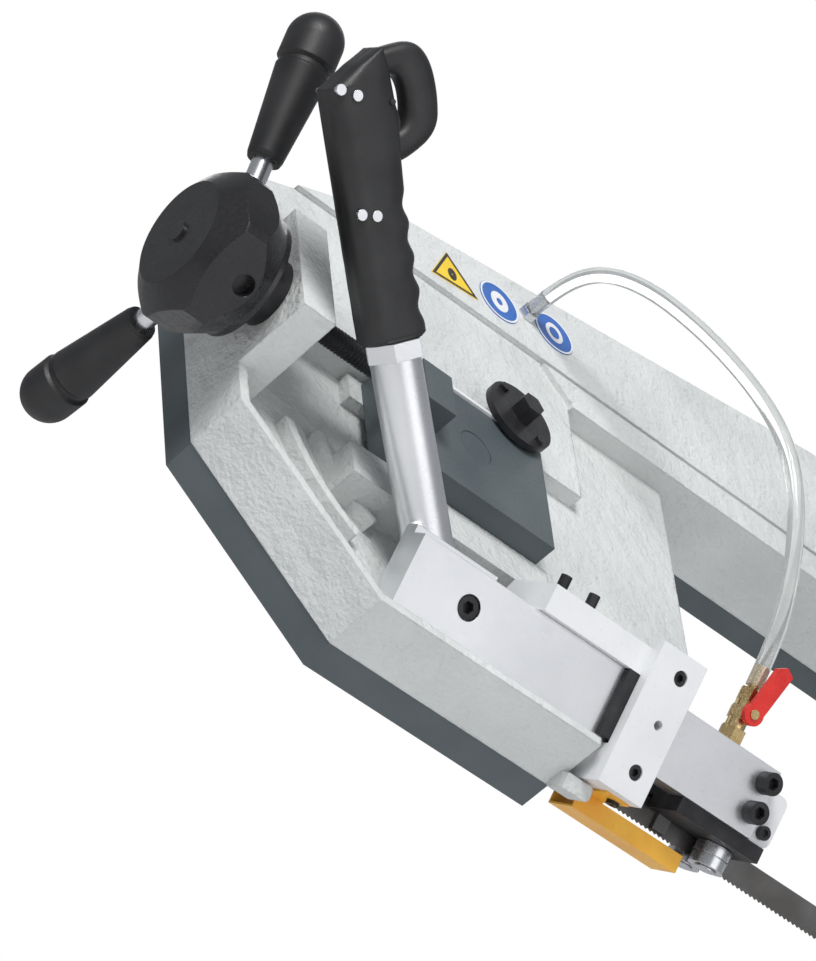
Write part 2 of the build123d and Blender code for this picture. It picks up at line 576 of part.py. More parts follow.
def guide_bar_bracket():
    """Casting that holds the bar: rail above it, seat behind it, foot below its outer end."""
    back = BAR_BACK + BAR_FIT
    web = (WEB_FRONT + 0.3) * math.sqrt(2)
    profile = [(back, BAR_BOTTOM + 1), (back, BAR_TOP + BAR_FIT), (FLANGE_FRONT, BAR_TOP + BAR_FIT),
               (FLANGE_FRONT, RAIL_TOP), (4.0, RAIL_TOP), (12.0, RAIL_TOP - 12), (12.0, 12.0 + web),
               (BAR_BOTTOM + 1 - web, BAR_BOTTOM + 1)]
    side = Plane(origin=(BRACKET_LEFT, 0, 0), x_dir=(0, 1, 0), z_dir=(1, 0, 0))
    face = side * make_face(Polyline(*profile, close=True))
    body = extrude(face, PLATE_RIGHT - BRACKET_LEFT)
    low = BAR_MID - PLATE_HALF
    foot = box((PLATE_LEFT, FLANGE_FRONT, low), (PLATE_RIGHT, -10.0, BAR_BOTTOM - BAR_FIT))
    foot += box((PLATE_LEFT, back, BAR_BOTTOM - 1), (PLATE_RIGHT, -10.0, BAR_BOTTOM + 6))
    body += foot
    for z in (BAR_MID + PLATE_SCREW_OFF + 2, BAR_MID - PLATE_SCREW_OFF):
        body -= along_y(FLANGE_FRONT - 1, FLANGE_FRONT + 22, PLATE_LEFT + 24, z, 3.05)
    for x in SET_SCREW_XS:
        body -= Pos(x, BAR_FRONT + 10, BAR_TOP) * Cylinder(SET_SCREW_R + 0.05, 40, align=LOW)
    return body - Pos(GUARD_SCREW[0], GUARD_SCREW[1], low - 1) * Cylinder(2.52, 14, align=LOW)


def bracket_end_plate():
    """Plate across the front of the bar."""
    low = BAR_MID - PLATE_HALF
    plate = box((PLATE_LEFT, FLANGE_FRONT - PLATE_THICK, low),
                (PLATE_RIGHT, FLANGE_FRONT, BAR_MID + PLATE_HALF))
    for z in (BAR_MID + PLATE_SCREW_OFF + 2, BAR_MID - PLATE_SCREW_OFF):
        plate -= along_y(FLANGE_FRONT - 20, FLANGE_FRONT + 1, PLATE_LEFT + 24, z, 3.3)
        plate -= along_y(FLANGE_FRONT - 20, FLANGE_FRONT - 2, PLATE_LEFT + 24, z, 5.5)
    return plate - along_y(FLANGE_FRONT - 20, FLANGE_FRONT + 1, PLATE_LEFT + 24, BAR_MID + 1, 3.4)


def plate_screws():
    """Two cap screws sunk in the plate, and the guard's screw under the bracket's foot."""
    zs = (BAR_MID + PLATE_SCREW_OFF + 2, BAR_MID - PLATE_SCREW_OFF)
    screws = [front_screw(PLATE_LEFT + 24, z, FLANGE_FRONT - 2, 3.0, M6_HEAD_R, 20, 6, 2.9) for z in zs]
    under = Pos(GUARD_SCREW[0], GUARD_SCREW[1], BAR_MID - PLATE_HALF - GUARD_SHEET) * Rot(180, 0, 0)
    return Compound(children=screws + [under * cap_screw(2.5, 4.7, 12, 2.8, 2.2)])


def bar_shim():
    """Dark wear strip between the plate and the bar, showing beside the plate."""
    return box((PLATE_LEFT - 9, FLANGE_FRONT + BAR_FIT, BAR_BOTTOM + 2),
               (PLATE_RIGHT - 4, BAR_FRONT - BAR_FIT, BAR_TOP))


def set_screws():
    """Set screws that nip the bar from above."""
    screw = Pos(0, BAR_FRONT + 10, BAR_TOP + BAR_FIT) * Cylinder(SET_SCREW_R, 32, align=LOW)
    return Compound(children=[Pos(x, 0, 0) * screw for x in SET_SCREW_XS])


def guide_block(left, right, roller_x, screw_x):
    """Steel block on the back of a bar, with the roller cheeks and the slot for the blade."""
    cheek = ROLLER_BOTTOM + ROLLER_LENGTH + 0.5
    block = box((left, BAR_BACK, BAR_BOTTOM), (right, BLOCK_BACK, BAR_MID + 8))
    block += box((left, BAR_FRONT + 3, cheek), (right, BLOCK_BACK, BAR_BOTTOM))
    block -= box((left - 1, -SLOT_FRONT, -20), (right + 1, SLOT_BACK, SLOT_TOP))
    for z in (BAR_MID + 13, BAR_MID - 9):
        block -= along_y(BAR_BACK - 1, BAR_BACK + 15, screw_x, z, 5.05)
    for y in roller_axes():
        block -= Pos(roller_x, y, ROLLER_BOTTOM) * Cylinder(ROLLER_PIN_R + 0.02, 40, align=LOW)
    return block


def roller_axes():
    """Where the two rollers' pins stand, front and back of the blade."""
    reach = ROLLER_R + ROLLER_GAP
    return (-BLADE_THICK - reach, reach)


def roller(x, y):
    """Pair of hard rings turning on an upright pin."""
    ring = Pos(x, y, ROLLER_BOTTOM) * Cylinder(ROLLER_R, ROLLER_LENGTH, align=LOW)
    groove = Pos(x, y, ROLLER_BOTTOM + ROLLER_LENGTH / 2 - 0.5) * Cylinder(ROLLER_R + 1, 1.0, align=LOW)
    ring -= groove - Pos(x, y, ROLLER_BOTTOM) * Cylinder(ROLLER_R - 1.5, ROLLER_LENGTH, align=LOW)
    return ring - Pos(x, y, ROLLER_BOTTOM - 1) * Cylinder(ROLLER_PIN_R + RUNNING_FIT, ROLLER_LENGTH + 2, align=LOW)


def roller_pins(x, top):
    """Pins with a flat head under the rollers."""
    pins = []
    for y in roller_axes():
        pin = Pos(x, y, ROLLER_BOTTOM) * Cylinder(ROLLER_PIN_R, top - ROLLER_BOTTOM, align=LOW)
        pin += Pos(x, y, ROLLER_BOTTOM - 1.3) * Cylinder(ROLLER_PIN_R + 3, 1.0, align=LOW)
        pin += Pos(x, y, ROLLER_BOTTOM - 0.4) * Cylinder(ROLLER_PIN_R, 0.5, align=LOW)
        pins.append(pin)
    return Compound(children=pins)


def carbide_pads(x, low, high):
    """Hard pads that bear on the blade's two sides and its back."""
    front = box((x - 6, -SLOT_FRONT + 0.1, low), (x + 6, -BLADE_THICK - 0.2, high))
    back = box((x - 6, 0.2, low), (x + 6, SLOT_BACK - 0.1, high))
    top = box((x - 6, -SLOT_FRONT + 0.1, BLADE_WIDTH / 2 + 0.2), (x + 6, SLOT_BACK - 0.1, SLOT_TOP - 0.1))
    return Compound(children=[front, back, top])


def guide_end_plate():
    """Plate with rounded corners behind the bar's end."""
    plate = box((BAR_RIGHT + 0.2, BAR_FRONT + 4, BAR_BOTTOM), (BLOCK_RIGHT + 3, BAR_BACK - 4, BAR_MID + 13))
    plate = fillet(plate.edges().filter_by(Axis.Y).group_by(Axis.X)[-1], 6.0)
    plate += box((BAR_RIGHT + 0.2, BAR_BACK - 5, BAR_BOTTOM + 2), (BLOCK_RIGHT, BAR_BACK, BAR_MID + 6))
    return plate - along_y(BAR_FRONT, BAR_BACK + 1, BAR_RIGHT + 9, BAR_BOTTOM + 9, 3.1)


def guide_screws():
    """Two cap screws through the bar into the block, and a small one in the end plate."""
    screws = [front_screw(ROLLER_X - 4, z, BAR_FRONT, 5.0, M10_HEAD_R, 34, 10, 4.6)
              for z in (BAR_MID + 13, BAR_MID - 9)]
    screws.append(front_screw(BAR_RIGHT + 9, BAR_BOTTOM + 9, BAR_FRONT + 4, 3.0, M6_HEAD_R, 12, 4, 2.9))
    return Compound(children=screws)


def blade_guard():
    """Bent sheet channel under the blade, with a flange that screws to the bracket's foot."""
    def trough(shrink, lift):
        low = (GUARD_LEFT - lift, GUARD_FRONT + shrink, GUARD_BOTTOM + lift)
        return box(low, (GUARD_RIGHT + lift, GUARD_BACK - shrink, GUARD_TOP + lift))
    guard = trough(0, 0) - trough(GUARD_SHEET, GUARD_SHEET)
    foot = BAR_MID - PLATE_HALF
    guard += box((GUARD_LEFT, GUARD_FRONT, GUARD_BOTTOM + 4), (PLATE_RIGHT - 2, GUARD_FRONT + GUARD_SHEET, foot))
    guard += box((GUARD_LEFT, FLANGE_FRONT + 2, foot - GUARD_SHEET), (PLATE_RIGHT - 2, GUARD_FRONT + 2, foot))
    return guard - Pos(GUARD_SCREW[0], GUARD_SCREW[1], foot - 5) * Cylinder(2.8, 10, align=LOW)


# ---- control handle ---------------------------------------------------------------------------------------
TILT = math.radians(HANDLE_LEAN)
HANDLE_FOOT = Pos(TUBE_FOOT[0], HANDLE_Y, TUBE_FOOT[1])
HANDLE = HANDLE_FOOT * Rot(0, -HANDLE_LEAN, 0)
GRIP = HANDLE * Pos(0, 0, TUBE_LENGTH)


def handle_tube():
    """Steel tube, bent at the bottom to a flat foot behind the bar."""
    tube = HANDLE * Cylinder(TUBE_R, TUBE_LENGTH, align=LOW)
    tube += HANDLE_FOOT * Sphere(TUBE_R)
    tube += HANDLE_FOOT * Rot(0, 125, 0) * Cylinder(TUBE_R, 34, align=LOW)
    tube -= box((-60, -60, -20), (140, BAR_BACK, 400))
    foot = box((BAR_LEFT + 4, BAR_BACK, BAR_MID - 18), (FOOT_SCREW_X + 22, BAR_BACK + 12, BAR_TOP + 8))
    tube += foot
    tube -= HANDLE * Pos(0, 0, 30) * Cylinder(TUBE_R - TUBE_WALL, TUBE_LENGTH, align=LOW)
    web = (WEB_FRONT + 0.8) * math.sqrt(2)
    keep = Plane(origin=(-80, 0, 0), x_dir=(0, 1, 0), z_dir=(1, 0, 0))
    corners = ((BAR_BACK - 30, BAR_BACK - 30 + web), (60, 60 + web), (60, -60))
    clear = keep * make_face(Polyline(*corners, close=True))
    tube -= extrude(clear, 260)
    return tube - along_y(BAR_BACK - 1, BAR_BACK + 14, FOOT_SCREW_X, BAR_MID, 5.05)


def handle_nut():
    """Hexagon nut between tube and grip."""
    nut = GRIP * extrude(RegularPolygon(TUBE_R + 3.5, 6), 12)
    return nut - GRIP * Pos(0, 0, -1) * Cylinder(TUBE_R - TUBE_WALL - 3, 14, align=LOW)


def grip_outline():
    """Side view of the grip: straight back, sloping top, four finger hollows down the front."""
    shape = fillet(make_face(Polyline(*GRIP_POINTS, close=True)).vertices(), 4.0)
    for s in FINGER_PLACES:
        shape -= Pos(20 + FINGER_R, s) * Circle(FINGER_R)
    return shape


def grip_guard():
    """Loop round the trigger."""
    outer = Polyline((20, GRIP_LENGTH + 12), (45, GRIP_LENGTH + 12), (57, GRIP_LENGTH + 2), (62, 165), (58, 143),
                     (34, 125), (20, 125), close=True)
    inner = Polyline((31, GRIP_LENGTH - 2), (42, GRIP_LENGTH - 3), (46, 160), (32, 143), close=True)
    return fillet(make_face(outer).vertices(), 5) - fillet(make_face(inner).vertices(), 4)


def rounded_bar():
    """Bar with rounded long edges that widens from the grip's foot to its head."""
    sections = []
    ends = ((0.0, GRIP_POINTS[1][0], GRIP_POINTS[7][0]), (220.0, GRIP_POINTS[2][0], GRIP_POINTS[5][0]))
    for s, left, right in ends:
        place = Pos((left + right) / 2, s, 0) * Rot(-90, 0, 0)
        sections.append(place * RectangleRounded(right - left, GRIP_WIDTH, GRIP_ROUND))
    return loft(sections)


def grip_half(side):
    """One moulded half of the grip; side is 1 for the front half and -1 for the back half."""
    half = GRIP_WIDTH / 2
    frame = GRIP * Plane.XZ.location
    body = extrude(grip_outline(), half) & rounded_bar()
    body += extrude(grip_guard(), half - 7)
    body -= extrude(inset(GRIP_POINTS, GRIP_WALL), half - GRIP_WALL)
    body -= Pos(24, 150) * Box(16, 40, 2 * (half - 8))
    body -= Pos(0, 12, 0) * Rot(90, 0, 0) * Cylinder(TUBE_R - 6, 10)
    body -= Pos(TRIGGER_PIN[1], TRIGGER_PIN[0], 0) * Cylinder(2.02, 2 * half - 3)
    for s, n in GRIP_SCREWS:
        body += Pos(n, s, 0) * Cylinder(SCREW_BOSS_R, half - 6, align=LOW)
        body -= Pos(n, s, -1) * Cylinder(2.05, half + 3, align=LOW)
        body -= Pos(n, s, half - 2.5) * Cylinder(4.0, 4, align=LOW)
    if side < 0:
        body = mirror(body, Plane.XY)
    return frame * body


def grip_screws():
    """Screws that hold the two halves together."""
    frame = GRIP * Plane.XZ.location
    top = GRIP_WIDTH / 2 - 2.5
    screws = []
    for s, n in GRIP_SCREWS:
        screw = Pos(n, s, top) * Cylinder(3.7, 2.2, align=LOW)
        screw += Pos(n, s, top - 26) * Cylinder(2.0, 26.1, align=LOW)
        screws.append(frame * screw)
    return Compound(children=screws)


def trigger():
    """Finger lever of the switch, hung on its pin inside the loop."""
    points = [(17, 169), (28, 167), (30.5, 150), (27, 133), (20, 132), (15.5, 150)]
    lever = extrude(make_face(Polyline(*points, close=True)), 2 * TRIGGER_HALF)
    lever = Pos(0, 0, -TRIGGER_HALF) * lever
    lever = fillet(lever.edges().filter_by(Axis.Z), 1.5)
    lever -= Pos(TRIGGER_PIN[1], TRIGGER_PIN[0], 0) * Cylinder(2.0 + RUNNING_FIT, 40)
    return GRIP * Plane.XZ.location * lever


def trigger_pin():
    """Pin across the grip's two halves."""
    return GRIP * Plane.XZ.location * Pos(TRIGGER_PIN[1], TRIGGER_PIN[0], 0) * Cylinder(2.0, GRIP_WIDTH - 3.2)


def trigger_switch():
    """Switch held between the grip's halves, with its plunger behind the trigger."""
    body = Pos(-2, 140, 0) * Box(18, 26, GRIP_WIDTH - 2 * GRIP_WALL - 2 * SWITCH_FIT)
    body += Pos(10.5, 136, 0) * Box(8, 3, 4)
    return GRIP * Plane.XZ.location * body


# ---- coolant ----------------------------------------------------------------------------------------------
def coolant_valve():
    """Brass ball valve screwed into the top of the bar, with a hose barb."""
    valve = Pos(VALVE_X, VALVE_Y, BAR_TOP - 10) * Cylinder(6.5, 11, align=LOW)
    valve += Pos(VALVE_X, VALVE_Y, BAR_TOP) * extrude(RegularPolygon(9.5, 6), 10)
    valve += Pos(VALVE_X, VALVE_Y, BAR_TOP + 10) * Cylinder(7.0, 20, align=LOW)
    valve += Pos(VALVE_X, VALVE_Y, BAR_TOP + 17) * extrude(RegularPolygon(9.0, 6), 8)
    valve += Pos(VALVE_X, VALVE_Y, BAR_TOP + 30) * extrude(RegularPolygon(8.0, 6), 9)
    valve += Pos(VALVE_X, VALVE_Y, BAR_TOP + 39) * Cylinder(HOSE_BORE - RUNNING_FIT, 18, align=LOW)
    return valve + along_y(VALVE_Y - LEVER_REACH - 1, VALVE_Y, VALVE_X, BAR_TOP + VALVE_STEM, STEM_R)


def valve_lever():
    """Pressed lever on the valve's stem, leaning to the outer end when the valve is open."""
    y = VALVE_Y - LEVER_REACH
    z = BAR_TOP + VALVE_STEM
    lever = along_y(y, y + LEVER_THICK, VALVE_X, z, 8.0)
    arm = [(VALVE_X - 6, z), (VALVE_X + 6.5, z - 3), (VALVE_X + 16, z + 36), (VALVE_X + 9, z + 40),
           (VALVE_X + 2, z + 36)]
    side = Plane(origin=(0, y + LEVER_THICK, 0), x_dir=(1, 0, 0), z_dir=(0, -1, 0))
    lever += extrude(side * make_face(Polyline(*arm, close=True)), LEVER_THICK)
    return lever - along_y(y - 1, y + LEVER_THICK + 1, VALVE_X, z, STEM_R + RUNNING_FIT)


def face_point(x, v, w):
    """Point given in the head's own axes, in the working axes."""
    return tuple((BOW * Pos(x, v, w)).position)


HOSE_ROUTE = [
    face_point(HOSE_INLET[0], HOSE_INLET[1], BEAM_FRONT + 8), (169.5, 203.0, 338.2), (176.0, 172.0, 352.0),
    (195.0, 140.0, 351.0), (221.0, 106.0, 338.0), (243.0, 73.0, 320.0), (261.0, 42.0, 299.0),
    (274.0, 14.0, 274.0), (284.0, -8.0, 241.0), (292.0, -21.0, 206.0), (299.0, -28.0, 171.0),
    (VALVE_X, VALVE_Y, 138.0), (VALVE_X, VALVE_Y, BAR_TOP + 42)]


def arc_radii(route):
    """Radius of each corner: 0.45 of its shorter run over the tangent of half the turn."""
    points = [Vector(*p) for p in route]
    radii = []
    for before, corner, after in zip(points, points[1:], points[2:]):
        shorter = min((corner - before).length, (after - corner).length)
        turn = (corner - before).get_angle(after - corner)
        radii.append(0.45 * shorter / math.tan(math.radians(turn) / 2))
    return radii


def coolant_hose():
    """Clear hose from the beam's inlet to the valve."""
    radii = arc_radii(HOSE_ROUTE)
    print("hose radii", [round(r) for r in radii])
    path = FilletPolyline(*HOSE_ROUTE, radius=radii)
    start = Plane(origin=path @ 0, z_dir=path % 0)
    tube = sweep(start * (Circle(HOSE_R) - Circle(HOSE_BORE)), path=path)
    area = math.pi * (HOSE_R ** 2 - HOSE_BORE ** 2)
    print("hose length", round(path.length, 1), "volume over section times length",
          round(tube.volume / (area * path.length), 4))
    return tube


def hose_inlet():
    """Barb screwed into the beam's front face."""
    x, v = HOSE_INLET
    body = disc(x, v, BEAM_FRONT - WALL + 1, BEAM_FRONT + 1, 4.95)
    body += BOW * Pos(x, v, BEAM_FRONT) * extrude(RegularPolygon(7.5, 6), 6)
    return body + disc(x, v, BEAM_FRONT + 6, BEAM_FRONT + 20, HOSE_BORE - RUNNING_FIT)


def warning_plate():
    """Thin triangular plate on the beam."""
    points = [(72.0, 352.0), (118.0, 357.0), (90.0, 389.0)]
    return slab(points, BEAM_FRONT, BEAM_FRONT + 0.6)


def notice_plates():
    """Two thin round plates on the beam."""
    return Compound(children=[disc(x, v, BEAM_FRONT, BEAM_FRONT + 0.6, NOTICE_R) for x, v in NOTICE_PLACES])


# ---- drive ------------------------------------------------------------------------------------------------
def motor_axis(low, high, radius):
    """Cylinder along the motor's axis, between two places along the blade."""
    return along_x(low, high, MOTOR_V, GEAR_W, radius)


def square_edges(solid):
    """Edges that stand square to the wheels' plane."""
    return solid.edges().filter_by(lambda e: abs((e % 0).X) < 0.01 and abs((e % 0).Y + (e % 0).Z) < 0.01)


def gearbox_housing():
    """Cast box on the front of the drive end, with a spigot in the casting."""
    left, right = DRIVE_X - GEARBOX_HALF, DRIVE_X + GEARBOX_HALF
    body = box((left, GEARBOX_BOTTOM, GEARBOX_BACK), (right, GEARBOX_TOP, GEARBOX_FRONT), BOW)
    body = fillet(square_edges(body), 14)
    wall = GEARBOX_WALL
    body -= box((left + wall, GEARBOX_BOTTOM + wall, GEARBOX_BACK + wall),
                (right - wall, GEARBOX_TOP - wall, GEARBOX_FRONT + 1), BOW)
    body += disc(DRIVE_X, AXIS_V, WEB_FRONT + 0.3, WEB_FRONT + 12, 62)
    body += disc(DRIVE_X, AXIS_V, WEB_BACK, GEARBOX_BACK + wall + 6, 39.7)
    body -= disc(DRIVE_X, AXIS_V, 0, GEARBOX_FRONT, SHAFT_R + RUNNING_FIT)
    body += motor_axis(left - 16, left + wall + 6, 24)
    body -= motor_axis(left - 10, right + 1, 9 + RUNNING_FIT)
    return body


def gearbox_cover():
    """Lid of the gearbox."""
    left, right = DRIVE_X - GEARBOX_HALF, DRIVE_X + GEARBOX_HALF
    lid = box((left, GEARBOX_BOTTOM, GEARBOX_FRONT), (right, GEARBOX_TOP, GEARBOX_FRONT + 7), BOW)
    lid = fillet(square_edges(lid), 14)
    lid += disc(DRIVE_X, AXIS_V, GEARBOX_FRONT + 6, GEARBOX_FRONT + 14, 34)
    for x, v in gearbox_screw_places():
        lid -= disc(x, v, GEARBOX_FRONT - 1, GEARBOX_FRONT + 8, 3.3)
    return lid


def gearbox_screw_places():
    """Corners of the lid's screw pattern."""
    xs = (DRIVE_X - GEARBOX_HALF + 14, DRIVE_X + GEARBOX_HALF - 14)
    return [(x, v) for x in xs for v in (GEARBOX_BOTTOM + 14, (GEARBOX_BOTTOM + GEARBOX_TOP) / 2, GEARBOX_TOP - 14)]


def gearbox_screws():
    """Cap screws of the lid."""
    screw = Pos(0, 0, GEARBOX_FRONT + 7) * cap_screw(3.0, M6_HEAD_R, 7, 6, 2.9)
    return Compound(children=[BOW * Pos(x, v, 0) * screw for x, v in gearbox_screw_places()])


def drive_shaft():
    """Output shaft that carries the drive wheel and the worm wheel."""
    shaft = disc(DRIVE_X, AXIS_V, -WHEEL_WIDTH / 2 - 8, GEARBOX_FRONT - 6, SHAFT_R)
    return shaft + disc(DRIVE_X, AXIS_V, -WHEEL_WIDTH / 2 - 8, -WHEEL_WIDTH / 2 - 0.1, SHAFT_R + 8)


def worm_wheel():
    """Bronze wheel of thirty teeth."""
    wheel = disc(DRIVE_X, AXIS_V, GEAR_W - 10, GEAR_W + 10, WORM_WHEEL_R)
    for index in range(WORM_TEETH):
        angle = math.radians(360 * index / WORM_TEETH)
        x = DRIVE_X + WORM_WHEEL_R * math.cos(angle)
        v = AXIS_V + WORM_WHEEL_R * math.sin(angle)
        wheel -= disc(x, v, GEAR_W - 11, GEAR_W + 11, 2.2)
    return wheel - disc(DRIVE_X, AXIS_V, GEAR_W - 11, GEAR_W + 11, SHAFT_R)


def motor_shaft():
    """Rotor and worm on one shaft."""
    left, right = DRIVE_X - GEARBOX_HALF, DRIVE_X + GEARBOX_HALF
    shaft = motor_axis(left - 8, right + MOTOR_LENGTH + 32, 9.0)
    worm = motor_axis(DRIVE_X - 24, DRIVE_X + 24, WORM_R)
    for index in range(7):
        x = DRIVE_X - 21 + index * 6.4
        worm -= motor_axis(x, x + 3.0, WORM_R + 1) - motor_axis(x - 1, x + 4, WORM_R - 3)
    return shaft + worm + motor_axis(right + 28, right + MOTOR_LENGTH - 24, MOTOR_R - 25)


def motor_frame():
    """Finned cylinder with a flange at the gearbox and an end shield."""
    left = DRIVE_X + GEARBOX_HALF
    frame = motor_axis(left, left + 12, MOTOR_R + 6) + motor_axis(left + 11, left + MOTOR_LENGTH, MOTOR_R - 7)
    axis = BOW * Pos(left, MOTOR_V, GEAR_W) * Rot(0, 90, 0)
    for index in range(FIN_COUNT):
        fin = Rot(0, 0, 360 * (index + 0.5) / FIN_COUNT) * Pos(MOTOR_R - 9, 0, 16)
        frame += axis * fin * Box(9, 2.2, MOTOR_LENGTH - 26, align=(Align.MIN, Align.CENTER, Align.MIN))
    frame -= motor_axis(left + 12, left + MOTOR_LENGTH - 8, MOTOR_R - 12)
    return frame - motor_axis(left - 1, left + MOTOR_LENGTH + 1, 9 + RUNNING_FIT)


def motor_stator():
    """Laminated ring inside the frame."""
    left = DRIVE_X + GEARBOX_HALF
    ring = motor_axis(left + 28, left + MOTOR_LENGTH - 24, MOTOR_R - 12.1)
    return ring - motor_axis(left + 27, left + MOTOR_LENGTH - 23, MOTOR_R - 24.4)


def cooling_fan():
    """Fan on the shaft's outer end."""
    left = DRIVE_X + GEARBOX_HALF + MOTOR_LENGTH + 8
    fan = motor_axis(left, left + 18, 16)
    axis = BOW * Pos(left, MOTOR_V, GEAR_W) * Rot(0, 90, 0)
    for index in range(8):
        blade_place = axis * Rot(0, 0, 45 * index) * Pos(14, 0, 0)
        fan += blade_place * Box(36, 2.5, 18, align=(Align.MIN, Align.CENTER, Align.MIN))
    return fan - motor_axis(left - 1, left + 19, 9.0)


def fan_cover():
    """Pressed cover over the fan, with an air grille."""
    left = DRIVE_X + GEARBOX_HALF + MOTOR_LENGTH
    cover = motor_axis(left - 14, left + FAN_COVER_LENGTH, MOTOR_R + 2)
    cover -= motor_axis(left - 15, left + FAN_COVER_LENGTH - 2, MOTOR_R + 0.5)
    axis = BOW * Pos(left + FAN_COVER_LENGTH - 3, MOTOR_V, GEAR_W) * Rot(0, 90, 0)
    spokes = Box(2 * MOTOR_R, 8, 20) + Box(8, 2 * MOTOR_R, 20)
    for radius in (22, 34, 46):
        ring = Cylinder(radius + 3, 5, align=LOW) - Cylinder(radius - 3, 5, align=LOW)
        cover -= axis * (ring - spokes)
    return cover


def terminal_box():
    """Motor's terminal box with its lid and a cable gland stub."""
    x = DRIVE_X + GEARBOX_HALF + 60
    low = GEAR_W + MOTOR_R - 7.5
    body = box((x, MOTOR_V - 34, low), (x + 74, MOTOR_V + 34, low + 34), BOW)
    body -= motor_axis(x - 1, x + 80, MOTOR_R + 0.3)
    lid = box((x - 2, MOTOR_V - 36, low + 34), (x + 76, MOTOR_V + 36, low + 42), BOW)
    gland = BOW * Pos(x + 37, MOTOR_V - 34, low + 20) * Rot(90, 0, 0) * Cylinder(10, 14, align=LOW)
    return body + lid + gland


# ---- fixed guide ------------------------------------------------------------------------------------------
def fixed_guide_arm():
    """Short bar and seat, on the drive end's casting."""
    arm = box((FIXED_BLOCK_LEFT, BAR_FRONT, BAR_BOTTOM), (FIXED_ARM_RIGHT, BAR_BACK, BAR_TOP))
    web = (WEB_FRONT + 0.3) * math.sqrt(2)
    profile = [(BAR_BACK - 0.1, BAR_BOTTOM + 1), (BAR_BACK - 0.1, BAR_TOP), (0.0, BAR_TOP), (12.0, BAR_TOP - 8),
               (12.0, 12.0 + web), (BAR_BOTTOM + 1 - web, BAR_BOTTOM + 1)]
    side = Plane(origin=(THROAT_RIGHT + 6, 0, 0), x_dir=(0, 1, 0), z_dir=(1, 0, 0))
    arm += extrude(side * make_face(Polyline(*profile, close=True)), FIXED_ARM_RIGHT - THROAT_RIGHT - 6)
    for z in (BAR_MID + 13, BAR_MID - 9):
        arm -= along_y(BAR_FRONT - 1, BAR_BACK + 1, FIXED_ROLLER_X + 4, z, 5.3)
    return arm


def fixed_guide_screws():
    """Cap screws of the fixed guide block."""
    return Compound(children=[front_screw(FIXED_ROLLER_X + 4, z, BAR_FRONT, 5.0, M10_HEAD_R, 34, 10, 4.6)
                              for z in (BAR_MID + 13, BAR_MID - 9)])


# ---- pivot ------------------------------------------------------------------------------------------------
FOOT_Z = PIVOT_Z - PIVOT_HEIGHT


def pivot_bracket():
    """Foot with two ears for the pivot shaft and a boss for the stop screw."""
    foot = box((PIVOT_X - FOOT_X / 2, PIVOT_Y - FOOT_Y / 2, FOOT_Z),
               (PIVOT_X + FOOT_X / 2, PIVOT_Y + FOOT_Y / 2, FOOT_Z + FOOT_THICK))
    foot = fillet(foot.edges().filter_by(Axis.Z), 12)
    for side in (-1, 1):
        near = BARREL_HALF + EAR_FIT
        low, high = sorted((PIVOT_Y + side * near, PIVOT_Y + side * (near + EAR_THICK)))
        ear = box((PIVOT_X - BARREL_R, low, FOOT_Z + FOOT_THICK - 1), (PIVOT_X + BARREL_R, high, PIVOT_Z))
        foot += ear + along_y(low, high, PIVOT_X, PIVOT_Z, BARREL_R)
    foot += Pos(PIVOT_X - STOP_REACH, PIVOT_Y, FOOT_Z + FOOT_THICK - 1) * Cylinder(13, 22, align=LOW)
    foot -= along_y(PIVOT_Y - 90, PIVOT_Y + 90, PIVOT_X, PIVOT_Z, PIVOT_SHAFT_R + 0.02)
    foot -= Pos(PIVOT_X - STOP_REACH, PIVOT_Y, FOOT_Z + 6) * Cylinder(6.02, 60, align=LOW)
    for x in (-BOLT_X / 2, BOLT_X / 2):
        for y in (-BOLT_Y / 2, BOLT_Y / 2):
            foot -= Pos(PIVOT_X + x, PIVOT_Y + y, FOOT_Z - 1) * Cylinder(BOLT_HOLE_R, FOOT_THICK + 2, align=LOW)
    return foot


def pivot_shaft():
    """Shaft through the ears and the casting's barrel, with a retaining ring at each end."""
    reach = BARREL_HALF + EAR_FIT + EAR_THICK
    shaft = along_y(PIVOT_Y - reach - 6, PIVOT_Y + reach + 6, PIVOT_X, PIVOT_Z, PIVOT_SHAFT_R)
    for low in (PIVOT_Y - reach - 2.2, PIVOT_Y + reach + 0.2):
        shaft += along_y(low, low + 2, PIVOT_X, PIVOT_Z, PIVOT_SHAFT_R + 3)
    return shaft


def stop_screw():
    """Stop screw with its locknut: the head comes to rest on it."""
    x = PIVOT_X - STOP_REACH
    top = PIVOT_Z - 24.0
    boss = FOOT_Z + FOOT_THICK + 21
    screw = Pos(x, PIVOT_Y, FOOT_Z + 8) * Cylinder(6.0, top - 8 - FOOT_Z - 8, align=LOW)
    screw += Pos(x, PIVOT_Y, top - 8.3) * extrude(RegularPolygon(10.5, 6), 8)
    return screw + Pos(x, PIVOT_Y, boss) * extrude(RegularPolygon(10.5, 6), 9)


# ---- write every node -------------------------------------------------------------------------------------
os.makedirs("parts", exist_ok=True)
save("pivot_bracket", pivot_bracket())
save("pivot_shaft", pivot_shaft())
save("stop_screw", stop_screw())
save("bow_casting", bow_casting())
save("wheel_cover", wheel_cover())
save("cover_hinge_pins", hinge_pins())
save("saw_blade", blade())
save("idler_wheel", saw_wheel(IDLER_X, AXLE_R + 11))
save("idler_bearings", bearing_pair(IDLER_X, AXLE_R + RUNNING_FIT, AXLE_R + 11))
save("idler_axle", idler_axle())
save("slide_clamp", slide_clamp())
save("tension_slide", tension_slide())
save("slide_gib", slide_gib())
save("tension_screw", tension_screw())
save("tension_washers", tension_washers())
save("tension_hub", tension_hub())
save("hub_necks", hub_necks())
save("hub_handles", hub_handles())
save("guide_bar", guide_bar())
save("guide_bar_bracket", guide_bar_bracket())
save("bracket_end_plate", bracket_end_plate())
save("plate_screws", plate_screws())
